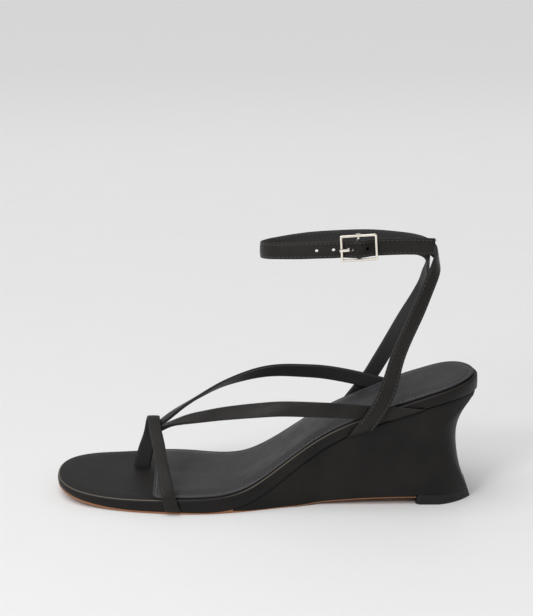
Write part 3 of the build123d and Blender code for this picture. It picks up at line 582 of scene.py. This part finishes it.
outsole_sheet = speckled("outsole_sheet", (0.27, 0.115, 0.05), (0.34, 0.155, 0.072), 0.6, 900, 0.2)
rubber = speckled(
    "rubber", (0.0068, 0.0062, 0.006), (0.012, 0.011, 0.0105), 0.5, 1600, 0.2, Specular_IOR_Level=0.3
)
thread = speckled("thread", (0.060, 0.060, 0.064), (0.12, 0.12, 0.125), 0.5, 2400, Sheen_Weight=0.3)
dark_thread = speckled(
    "dark_thread", (0.022, 0.021, 0.021), (0.05, 0.048, 0.047), 0.5, 2400, Sheen_Weight=0.2
)
board = speckled("fibreboard", (0.16, 0.11, 0.07), (0.24, 0.18, 0.12), 0.85, 1400, 0.5)
cork = speckled("cork", (0.30, 0.17, 0.08), (0.42, 0.26, 0.14), 0.8, 420, 0.6)
foam = speckled("foam", (0.62, 0.58, 0.46), (0.72, 0.68, 0.55), 0.9, 2000, 0.7)
tape_weave = speckled("tape", (0.55, 0.54, 0.50), (0.68, 0.67, 0.62), 0.8, 1800, 0.5)
steel = metal("steel", (0.52, 0.51, 0.49), 0.34)
buckle_metal = metal("buckle_metal", (0.90, 0.84, 0.74), 0.16)

BY_SLOT = {
    "strap_leather": strap_leather, "sole_leather": sole_leather, "insock_leather": insock_leather,
    "lining": lining_leather, "outsole_sheet": outsole_sheet, "cork": cork, "fibreboard": board,
    "steel": steel, "foam": foam, "thread": thread, "tape": tape_weave, "rubber": rubber,
    "buckle_metal": buckle_metal,
}  # fmt: skip
for part in frame["record"]["subparts"]:
    slots = frame["nodes"][part["node"]].data.materials
    slots.clear()
    slots.append(BY_SLOT[part["material_slot"]])

# ---------------------------------------------------------------- footbed


def at_level(fraction, above=0.0):
    return lambda x: level(x, fraction, above)


THONG = np.array([-74.1, 20.1])
SEAT_RISE = 1.0


def cup(x, y, distance):
    """The seat and the arch rise towards the sides, the inner one most, and the ball is dished."""
    seat = smooth(x, 30, 90) * SEAT_RISE * (0.35 + 0.65 * smooth(y, -20, 24))
    seat = seat * (1 - 0.9 * smooth(distance, 4, 16))
    ball = 0.9 * np.exp(-(((x + 52) / 22) ** 2)) * smooth(distance, 7, 24)
    return seat - ball


def cover_top(x, y, distance):
    slot = 0.9 * np.exp(-((x - THONG[0]) ** 2 / 32 + (y - THONG[1]) ** 2 / 9))
    crown = 0.55 * smooth(distance, 0.8, 7)
    return level(x, 1) + crown - slot + cup(x, y, distance) * 0.8


TOP_EDGE = 1.15
edge, inward = sole_outline()
rows = [(9.0, at_level(0, 0.05), 0), (1.5, at_level(0, 0.0), 0), (0.9, at_level(0, 0.12), 0),
        (0.25, at_level(0, 0.4), 0), (-0.08, at_level(0, 0.95), 0), (-0.2, at_level(0.45), 0),
        (-0.14, at_level(1, -2.3), 0)]  # fmt: skip
# the rim values on the turn of the top edge paint a highlight line along it, strongest at 60 degrees
for angle, mark in ((0, 0), (22, 0.1), (42, 0.6), (60, 1.0), (78, 0.7)):
    turn = math.radians(angle)
    inset = TOP_EDGE * (1 - math.cos(turn)) - 0.06
    rows.append((inset, at_level(1, TOP_EDGE * (math.sin(turn) - 1)), mark))
rows += [(TOP_EDGE + 0.35, at_level(1, 0.03), 0), (TOP_EDGE + 1.0, at_level(1, 0.1), 0)]
footbed = slab(
    "footbed_wrap", edge, inward, rows, sole_leather, cover_top, lambda x, y, d: level(x, 0, 0.05)
)
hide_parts("rim_band", "footbed_cover", "footbed_foam")

INSOCK_INSET, INSOCK_CORNER, INSOCK_STEP = 2.2, 5.5, 0.5
SEAM_INSET, SEAM_HEIGHT = 1.8, 1.12
INSOCK_FRONT = ((-64.0, -60.0), (-67.6, 50.0))


def insock_outline(inset):
    """The sole's outline inset, cut across the ball with two round corners."""
    ring, _ = sole_outline(INSOCK_INSET, INSOCK_STEP)
    (x0, y0), (x1, y1) = INSOCK_FRONT
    behind = ring[:, 0] > x0 + (ring[:, 1] - y0) * (x1 - x0) / (y1 - y0)
    start = int(np.flatnonzero(behind & ~np.roll(behind, 1))[0])
    side = np.roll(ring, -start, 0)[: int(behind.sum())]
    reach = int(INSOCK_CORNER / INSOCK_STEP)
    first, last = side[0], side[-1]
    front = unit(first - last)
    t = np.linspace(0, 1, 12)[1:-1, None]

    def corner(a, tip, b):
        return a * (1 - t) ** 2 + tip * 2 * t * (1 - t) + b * t**2

    line = [side[reach:-reach], corner(side[-reach - 1], last, last + front * INSOCK_CORNER)]
    line.append(corner(first - front * INSOCK_CORNER, first, side[reach]))
    q, inward = resampled(np.vstack(line), 1.0)
    return q + inward * inset, inward


def insock_top(x, y, distance):
    crown = 1.65 + 0.95 * smooth(distance, 2.2, 9.0)
    wrinkle = 0.13 * np.sin(x / 3.1 + 2.0 * np.sin(y / 9.0)) * np.exp(-(((x + 6) / 20) ** 2))
    wave = 0.16 * np.sin(y / 5.2 + x / 17.0) * np.exp(-(((x + 30) / 34) ** 2))
    wrinkle += wave * smooth(distance, 4, 12)
    return level(x, 1) + crown + cup(x, y, distance + INSOCK_INSET) + wrinkle


insock_edge, insock_inward = insock_outline(0)


def insock_row(above, inset):
    """Height of a row of the insock over the footbed cover, following its cup."""
    q = insock_edge + insock_inward * inset
    rise = cup(q[:, 0], q[:, 1], np.full(len(q), INSOCK_INSET + max(inset, 0)))
    return lambda x: level(x, 1) + above + rise


# (inset, height over the cover, rim value): the turned edge, then the groove that the seam lies in
insock_rows = [
    (2.6, -0.1, 0), (0.3, -0.1, 0), (0.0, 0.3, 0.2), (0.0, 0.8, 0.5), (0.2, 1.15, 1), (0.55, 1.4, 0.8),
    (1.0, 1.46, 0.3), (1.45, 1.12, 0), (1.8, 0.98, 0), (2.15, 1.12, 0), (2.7, 1.5, 0), (3.4, 1.75, 0),
]  # fmt: skip
insock = slab(
    "insock_pad",
    insock_edge,
    insock_inward,
    [(inset, insock_row(above, inset), mark) for inset, above, mark in insock_rows],
    insock_leather,
    insock_top,
    lambda x, y, d: level(x, 1) - 0.2,
    spacing=2.2,
)
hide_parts("insock", "insock_foam")

# ---------------------------------------------------------------- stitching


def stitches(name, centres, along, out, length=1.75, radius=0.21, colour=dark_thread, **more):
    """Separate stitches of thread, each bowed up out of its two needle holes."""
    side = unit(np.cross(out, along))
    sides = 6
    turn = np.linspace(0, 2 * math.pi, sides, endpoint=False)
    rings = [(-1, 0.35), (-0.86, 0.85), (-0.4, 1), (0.4, 1), (0.86, 0.85), (1, 0.35)]
    verts, faces = [], []
    for c, a, o, w in zip(centres, along, out, side):
        base = len(verts)
        for u, f in rings:
            middle = c + a * u * length / 2 - o * radius * (0.25 + 1.1 * u**4)
            verts += [middle + o * radius * f * math.sin(t) + w * radius * f * math.cos(t) for t in turn]
        last = base + (len(rings) - 1) * sides
        faces += strips(len(rings), sides, start=base)
        faces += [tuple(base + i for i in reversed(range(sides))), tuple(last + i for i in range(sides))]
    piece = put(name, verts, faces, colour, **more)
    return piece


SEAM_PITCH = 2.4
ring, ring_inward = resampled(insock_edge + insock_inward * SEAM_INSET, SEAM_PITCH)
ring_z = level(ring[:, 0], 1) + SEAM_HEIGHT
ring_z += cup(ring[:, 0], ring[:, 1], np.full(len(ring), INSOCK_INSET + SEAM_INSET))
ring_z += inner_rise(*ring.T, ring_z)
ring_points = np.column_stack([ring, ring_z])
ring_along = unit(np.roll(ring_points, -1, 0) - np.roll(ring_points, 1, 0))
ring_out = unit(np.cross(np.column_stack([-ring_inward, ring_z * 0]), ring_along))
ring_out *= np.sign(ring_out[:, 2:])
seam = stitches("insock_seam", ring_points, ring_along, ring_out, radius=0.26, colour=thread)
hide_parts("insock_stitching")

# ---------------------------------------------------------------- straps

PLY_LINE = -0.12
STITCH_MARGIN, STITCH_GROOVE = 1.25, 0.22


def widening(path, widths):
    """Width factor at each place of a strap, from (fraction of the route's length, factor) pairs."""
    return np.interp(path["s"] / path["knots"][-1], *zip(*widths))


def strap_plies(route, width, widths=((0, 1), (1, 1)), crown=0.22, reference=UP, groove=0.0, **span):
    """The folded outer ply and the lining of one strap, as meshes still to be trimmed and placed."""
    path = frames(route, 1.0, reference, **span)
    narrow = widening(path, widths)
    outer = ply_section(width, PLY_LINE, STRAP_THICKNESS / 2, crown, 0.5)
    if groove:
        from_seam = np.abs(outer[:, 0]) - (width / 2 - STITCH_MARGIN)
        outer[:, 1] -= groove * np.exp(-((from_seam / 0.35) ** 2)) * (outer[:, 1] > 0.4)
    lining = ply_section(width - 0.7, -STRAP_THICKNESS / 2, PLY_LINE, 0.0, 0.32)
    lining[:, 1] = -STRAP_THICKNESS / 2 + PLY_LINE - lining[:, 1]
    return path, sweep(path, outer, narrow=narrow), sweep(path, lining[::-1], narrow=narrow)


def plane_cut(piece, at_x, at_z, slope, tuck=1.3, tuck_height=2.2):
    """Cuts a strap where it goes into the seam under the footbed, and turns its end inwards."""
    normal = Vector((-math.sin(slope), 0, math.cos(slope)))
    point = Vector((at_x + TO_ORIGIN[0], 0, at_z)) * MM
    bm = bmesh.new()
    bm.from_mesh(piece.data)
    geometry = bm.verts[:] + bm.edges[:] + bm.faces[:]
    cut = bmesh.ops.bisect_plane(bm, geom=geometry, plane_co=point, plane_no=normal, clear_inner=True)
    rim = [e for e in cut["geom_cut"] if isinstance(e, bmesh.types.BMEdge)]
    bmesh.ops.holes_fill(bm, edges=rim, sides=0)
    for v in bm.verts:
        height = (v.co - point).dot(normal) / MM
        if height < tuck_height:
            inwards = tuck * MM * (1 - max(height, 0) / tuck_height) ** 2
            v.co.y -= math.copysign(inwards, v.co.y - TO_ORIGIN[1] * MM)
    bmesh.ops.recalc_face_normals(bm, faces=bm.faces)
    bm.to_mesh(piece.data)
    bm.free()
    return piece


def joint_slope(x):
    return math.atan2(level(x + 3, 0) - level(x - 3, 0), 6)


def place_pair(name, made, body, replaced, cut_x=None, above=0.06):
    """Makes the outer ply and the lining, trims them under the footbed and hides the parts they replace."""
    made_pieces = []
    for suffix, mesh, material, slot, nodes in (
        ("leather", made[1], strap_leather, "strap_leather", replaced[0]),
        ("lining", made[2], lining_leather, "lining", replaced[1]),
    ):
        verts, faces, rim = mesh
        piece = put(f"{name}_{suffix}", verts, faces, material, rim=rim, body=None)
        if cut_x is not None:
            plane_cut(piece, cut_x, level(cut_x, 0, above), joint_slope(cut_x))
        if body:
            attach(piece, body)
        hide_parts(*nodes)
        made_pieces.append(piece)
    return made_pieces


TOE_WIDTHS = (
    (0, 1.12), (0.07, 1.0), (0.2, 0.96), (0.45, 0.94), (0.6, 0.92), (0.75, 1.04), (0.9, 1.24), (1, 1.28),
)  # fmt: skip
toe = strap_plies(TOE_ROUTE, TOE_WIDTH, TOE_WIDTHS, reference=FORWARD, first=1.2)
place_pair("toe_loop", toe, "sandal", (["toe_strap"], ["toe_strap_lining"]), cut_x=-52.0, above=0.9)
for side, route, cut_x in (("lateral", LATERAL_INSTEP_ROUTE, 72.0), ("medial", MEDIAL_INSTEP_ROUTE, 76.0)):
    band = strap_plies(route, INSTEP_WIDTH)
    nodes = ([f"{side}_instep_strap"], [f"{side}_instep_lining"])
    place_pair(f"{side}_instep_band", band, "sandal", nodes, cut_x=cut_x)


def across_fold(piece):
    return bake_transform(piece)


def across_tip(piece):
    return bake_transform(piece)


def knot_of(route, point):
    """Length along the route's chords at one of its points."""
    run = np.array([q[:3] for q in route], float)
    chords = np.concatenate([[0], np.cumsum(np.linalg.norm(np.diff(run, axis=0), axis=1))])
    return float(chords[np.linalg.norm(run - np.array(point), axis=1).argmin()])


HOLE_RADIUS = 0.95


def punch(pieces, holes):
    """Cuts holes through both plies, each given by its place along the strap and its length: a longer
    one than a round hole is the prong's slot."""
    for piece in pieces:
        for along, length in holes:
            bm = bmesh.new()
            turn = np.linspace(0, 2 * math.pi, 28, endpoint=False)
            ends = []
            for h in (-12.0, 12.0):
                ring = []
                for t in turn:
                    slide = math.copysign(length / 2 - HOLE_RADIUS, math.cos(t))
                    q = np.array(at_buckle(along + slide + HOLE_RADIUS * math.cos(t), h))
                    q += BUCKLE_RISE * HOLE_RADIUS * math.sin(t)
                    ring.append(bm.verts.new(Vector((q + TO_ORIGIN) * MM)))
                ends.append(ring)
            for i in range(len(turn)):
                j = (i + 1) % len(turn)
                bm.faces.new((ends[0][i], ends[0][j], ends[1][j], ends[1][i]))
            bm.faces.new(ends[0][::-1])
            bm.faces.new(ends[1])
            bmesh.ops.recalc_face_normals(bm, faces=bm.faces)
            mesh = bpy.data.meshes.new("punch")
            bm.to_mesh(mesh)
            bm.free()
            cutter = bpy.data.objects.new("punch", mesh)
            bpy.context.scene.collection.objects.link(cutter)
            apply_cut(piece, cutter)


def apply_cut(piece, cutter):
    """Applies a boolean difference and removes the cutter."""
    modifier = piece.modifiers.new("cut", "BOOLEAN")
    modifier.object = cutter
    modifier.solver = "EXACT"
    graph = bpy.context.evaluated_depsgraph_get()
    cut = bpy.data.meshes.new_from_object(piece.evaluated_get(graph))
    piece.modifiers.clear()
    piece.data = cut
    bpy.data.objects.remove(cutter)
    cut.shade_smooth()
    cut.set_sharp_from_angle(angle=math.radians(40))


# the outer-side ankle strap, from its root round the ankle to the buckle's left bar
split = knot_of(LATERAL_ANKLE_ROUTE, at_buckle(-WAVE_HALF, buckle_wave(-WAVE_HALF)))
ANKLE_WIDTHS = (
    (0, 1.0), (0.12, 1.05), (0.25, 0.98), (0.33, 0.9), (0.4, 0.95), (0.65, 1.0), (0.78, 1.06), (1, 1.08),
)  # fmt: skip
loop = strap_plies(LATERAL_ANKLE_ROUTE, ANKLE_WIDTH, ANKLE_WIDTHS, groove=STITCH_GROOVE, last=split)
loop_pieces = place_pair(
    "ankle_loop", loop, None,
    (["lateral_ankle_strap", "lateral_ankle_root", "ankle_strap_tape"],
     ["lateral_ankle_lining", "lateral_ankle_root_lining"]),
    cut_x=54.5,
)  # fmt: skip
PRONG_HOLE, HOLE_PITCH, PRONG_SLOT = -4.7, 9.35, 3.8
ROUND_HOLE = 2 * HOLE_RADIUS
punch(loop_pieces, [(PRONG_HOLE - 2 * HOLE_PITCH, ROUND_HOLE), (PRONG_HOLE - HOLE_PITCH, ROUND_HOLE)])
tail = strap_plies(LATERAL_ANKLE_ROUTE, ANKLE_WIDTH, ANKLE_WIDTHS, groove=STITCH_GROOVE, first=split)
tail_pieces = place_pair("buckle_tail", tail, None, (["strap_tip"], ["strap_tip_lining"]))
punch(tail_pieces, [(PRONG_HOLE, PRONG_SLOT), (PRONG_HOLE + HOLE_PITCH, ROUND_HOLE)])
for piece in loop_pieces:
    across_fold(piece)
for piece in tail_pieces:
    across_tip(piece)

inner = strap_plies(MEDIAL_ANKLE_ROUTE, ANKLE_WIDTH, groove=STITCH_GROOVE)
inner_pieces = place_pair(
    "medial_ankle_band", inner, None,
    (["medial_ankle_strap", "medial_ankle_root"], ["medial_ankle_lining", "medial_ankle_root_lining"]),
    cut_x=51.0,
)  # fmt: skip
for piece in inner_pieces:
    across_fold(piece)

# the chape, folded round the buckle's centre bar and sewn to the inner-side strap
CHAPE_LINE = [
    (19.5, -3.8), (13, -3.8), (7.6, -3.75), (4.4, -2.5), (1.7, -1.05), (0, -0.94), (-0.85, -1.3),
    (-1.16, -2.1), (-0.85, -2.9), (0, -3.26), (1.6, -3.3), (3.4, -3.75), (6.4, -5.0),
    (8.5, -5.2), (13, -5.2), (19.5, -5.2),
]  # fmt: skip
chape_path = frames([at_buckle(*q) for q in CHAPE_LINE], 0.4, tuple(BUCKLE_RISE))
verts, faces, rim = sweep(chape_path, ply_section(7.8, -0.3, 0.3, 0.03, 0.2), 0.15, 0.15)
chape = put("chape_fold", verts, faces, strap_leather, rim=rim, body=None)
box = bmesh.new()
bmesh.ops.create_cube(box, size=1)
for v in box.verts:
    q = np.array(at_buckle(v.co.x * 4.4, -2.1 + v.co.y * 4.4)) + BUCKLE_RISE * v.co.z * 3.0
    v.co = Vector((q + TO_ORIGIN) * MM)
bmesh.ops.recalc_face_normals(box, faces=box.faces)
slot_mesh = bpy.data.meshes.new("slot")
box.to_mesh(slot_mesh)
box.free()
cutter = bpy.data.objects.new("slot", slot_mesh)
bpy.context.scene.collection.objects.link(cutter)
apply_cut(chape, cutter)
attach(chape, "ankle_strap")
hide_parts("chape")


def seam_rows(route, widths=((0, 1), (1, 1)), **span):
    """Stitch places along both edges of a strap, on its outer face and on its lining."""
    path = frames(route, SEAM_PITCH, **span)
    reach = ANKLE_WIDTH / 2 * widening(path, widths)[:, None] - STITCH_MARGIN
    rows = [[], [], []]
    for sign in (-1, 1):
        for out in (1, -1):
            lift = STRAP_THICKNESS / 2 - (STITCH_GROOVE if out > 0 else 0.0)
            rows[0].append(path["at"] + path["across"] * sign * reach + path["face"] * out * lift)
            rows[1].append(path["along"])
            rows[2].append(path["face"] * out)
    return [np.vstack(r) for r in rows]


root_clear = knot_of(LATERAL_ANKLE_ROUTE, LATERAL_ANKLE_RISE[2][:3])
loop_rows = seam_rows(LATERAL_ANKLE_ROUTE, ANKLE_WIDTHS, first=root_clear, last=split - 2)
across_fold(stitches("ankle_loop_seam", *loop_rows, body=None))
tail_rows = seam_rows(LATERAL_ANKLE_ROUTE, ANKLE_WIDTHS, first=split + 1)
across_tip(stitches("buckle_tail_seam", *tail_rows, body=None))
inner_end = knot_of(MEDIAL_ANKLE_ROUTE, MEDIAL_ANKLE_FALL[-3])
inner_rows = seam_rows(MEDIAL_ANKLE_ROUTE, first=3, last=inner_end)
across_fold(stitches("medial_ankle_seam", *inner_rows, body=None))

centres, along, out = [], [], []
for u in np.arange(12.9, 19.0, 1.5):
    for v in (-2.6, 2.6):
        centres.append(np.array(at_buckle(u, -5.5)) + BUCKLE_RISE * v)
        along.append(BUCKLE_ALONG)
        out.append(-OUTWARD)
for v in np.arange(-1.8, 2.0, 1.8):
    centres.append(np.array(at_buckle(12.1, -5.5)) + BUCKLE_RISE * v)
    along.append(BUCKLE_RISE)
    out.append(-OUTWARD)
chape_rows = (np.array(centres), np.array(along), np.array(out))
chape_seam = stitches("chape_seam", *chape_rows, length=1.15, body="ankle_strap")
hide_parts("chape_stitching")

# ---------------------------------------------------------------- wedge

WEDGE_TIP_X = -19
TOP_LIFT_FRONT_X, TOP_LIFT_HEIGHT = 85.5, 5.85
WEDGE_LINE = [
    (WEDGE_TIP_X, 1.1), (-5, 0.4), (10, 0.6), (25, 1.4), (40, 2.8), (55, 3.9), (70, 4.5),
    (TOP_LIFT_FRONT_X, 4.75),
]  # fmt: skip
WEDGE_SECTIONS = [
    (66, 123.5, 25.6, 22), (56, 114.9, 24.8, 19), (45, 109.5, 24.2, 16), (32, 109.1, 23.7, 13.5),
    (19, 111.5, 23.4, 12), (5, 116.3, 23.2, 11),
]  # fmt: skip
section_at, section_knots = spline([(z, b, w, r) for z, b, w, r in WEDGE_SECTIONS[::-1]])
dense_sections = section_at(np.linspace(0, section_knots[-1], 400))
wedge_line_at, wedge_knots = spline(WEDGE_LINE)
over_lift = [(TOP_LIFT_FRONT_X + 0.1, TOP_LIFT_HEIGHT), (130, TOP_LIFT_HEIGHT)]
wedge_line = np.vstack([wedge_line_at(np.linspace(0, wedge_knots[-1], 200)), over_lift])
limit, _ = sole_outline(0.6, 0.4)
SIDE_END, CORNER_END = 0.72, 0.92


def wedge_point(u, z):
    """Plan position at height z of a place round the wedge: u runs 0 to 1 from the front tip along the
    outer side to the middle of the back."""
    back, wide, corner = (np.interp(z, dense_sections[:, 0], dense_sections[:, i]) for i in (1, 2, 3))
    if u < SIDE_END:
        x = WEDGE_TIP_X + (back - corner - WEDGE_TIP_X) * (1 - (1 - u / SIDE_END) ** 1.15)
        y = wide + max(0.0, 30 - x) / 60 * (40 - wide)
    elif u < CORNER_END:
        angle = (u - SIDE_END) / (CORNER_END - SIDE_END) * math.pi / 2
        x, y = back - corner + corner * math.sin(angle), wide - corner + corner * math.cos(angle)
    else:
        x, y = back, (wide - corner) * (1 - (u - CORNER_END) / (1 - CORNER_END))
    return np.array([x, -y])


def wedge_mesh():
    """Rings round the wedge from its underside to the seam under the footbed."""
    straight = np.linspace(0, SIDE_END, 70, endpoint=False)
    round_corner = np.linspace(SIDE_END, CORNER_END, 26, endpoint=False)
    us = np.concatenate([straight, round_corner, np.linspace(CORNER_END, 1, 9)])
    around = np.concatenate([us, us[-2::-1]])
    side = np.concatenate([np.ones(len(us)), -np.ones(len(us) - 1)])
    levels = [(0.0, 0.14), (0.003, 0.03)] + [(v, 0.0) for v in np.linspace(0.04, 0.96, 27)]
    levels += [(0.978, 0.1), (0.99, 0.35), (1.0, 0.8)]
    points = []
    for v, inset in levels:
        for u, s in zip(around, side):
            z = 30.0  # a first guess, which the passes below settle
            for _ in range(12):
                q = wedge_point(u, z)
                z = np.interp(q[0], wedge_line[:, 0], wedge_line[:, 1]) * (1 - v) + level(q[0], 0) * v
            q[1] *= s
            points.append((*q, z, inset))
    points = np.array(points)
    over = ~inside(points[:, :2], limit)
    for i in np.flatnonzero(over):
        points[i, :2] = limit[((limit - points[i, :2]) ** 2).sum(1).argmin()]
    n = len(around)
    grid = points.reshape(len(levels), n, 4)
    for ring in grid:
        along = unit(np.gradient(ring[:, :2], axis=0) + 1e-9)
        ring[:, :2] += np.stack([-along[:, 1], along[:, 0]], 1) * ring[:, 3:]
    return grid[:, :, :3]


wedge_rings = wedge_mesh()
count = wedge_rings.shape[1]
verts = [wedge_rings.reshape(-1, 3)]
faces = strips(len(wedge_rings), count)
for ring, base, shape in (
    (wedge_rings[0], 0, lambda x: np.interp(x, wedge_line[:, 0], wedge_line[:, 1])),
    (wedge_rings[-1], (len(wedge_rings) - 1) * count, lambda x: level(x, 0)),
):
    grid, tris = fill(ring[:, :2], 4.0)
    first = sum(len(v) for v in verts)
    verts.append(np.column_stack([grid, shape(grid[:, 0])]))
    faces += [tuple(base + i if i < count else first + i - count for i in f) for f in tris]
wedge = put("wedge_wrap", np.vstack(verts), faces, sole_leather, smooth_angle=60)
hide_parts("wedge_cover", "wedge_core")

# ---------------------------------------------------------------- camera, light and floor

CAMERA_ELEVATION = math.radians(15.1)
camera_data = bpy.data.cameras.new("camera")
camera_data.lens = 102.53
camera_data.sensor_width = 36.0
camera = bpy.data.objects.new("camera", camera_data)
bpy.context.scene.collection.objects.link(camera)
target = Vector((0.0004, -0.0029, 0.1106))
camera.location = target + Vector((0, -math.cos(CAMERA_ELEVATION), math.sin(CAMERA_ELEVATION)))
camera.rotation_euler = (math.pi / 2 - CAMERA_ELEVATION, 0, 0)
bpy.context.scene.camera = camera

floor_mesh = bpy.data.meshes.new("floor")
FLOOR_HALF = 14.0
corners = [(x * FLOOR_HALF, y * FLOOR_HALF, 0) for x, y in ((-1, -1), (1, -1), (1, 1), (-1, 1))]
floor_mesh.from_pydata(corners, [], [(0, 1, 2, 3)])
floor = bpy.data.objects.new("floor", floor_mesh)
bpy.context.scene.collection.objects.link(floor)
floor_mesh.materials.append(speckled("floor", (0.80, 0.80, 0.80), (0.815, 0.815, 0.815), 0.62, 300, 0.02))


def lamp(name, location, aim, size, power):
    data = bpy.data.lights.new(name, "AREA")
    data.shape = "RECTANGLE"
    data.size, data.size_y = size
    data.energy = power
    made = bpy.data.objects.new(name, data)
    made.location = location
    made.rotation_euler = (Vector(aim) - Vector(location)).to_track_quat("-Z", "Y").to_euler()
    bpy.context.scene.collection.objects.link(made)


lamp("front", (-0.62, -1.02, 0.80), (0, 0, 0.06), (0.34, 0.3), 6.0)
lamp("back", (-0.1, 1.3, 0.9), (0, 0, 0.03), (2.6, 0.6), 1.6)
sky = bpy.data.lights.new("overhead", "SUN")
sky.energy = 1.72
sky.angle = math.radians(60)
overhead = bpy.data.objects.new("overhead", sky)
overhead.rotation_euler = Vector((0.30, 0.22, -1)).to_track_quat("-Z", "Y").to_euler()
bpy.context.scene.collection.objects.link(overhead)
world = bpy.data.worlds.new("world")
world.use_nodes = True
world.node_tree.nodes["Background"].inputs["Color"].default_value = (1, 1, 1, 1)
world.node_tree.nodes["Background"].inputs["Strength"].default_value = 0.36
bpy.context.scene.world = world
bpy.context.scene.view_settings.view_transform = "Standard"
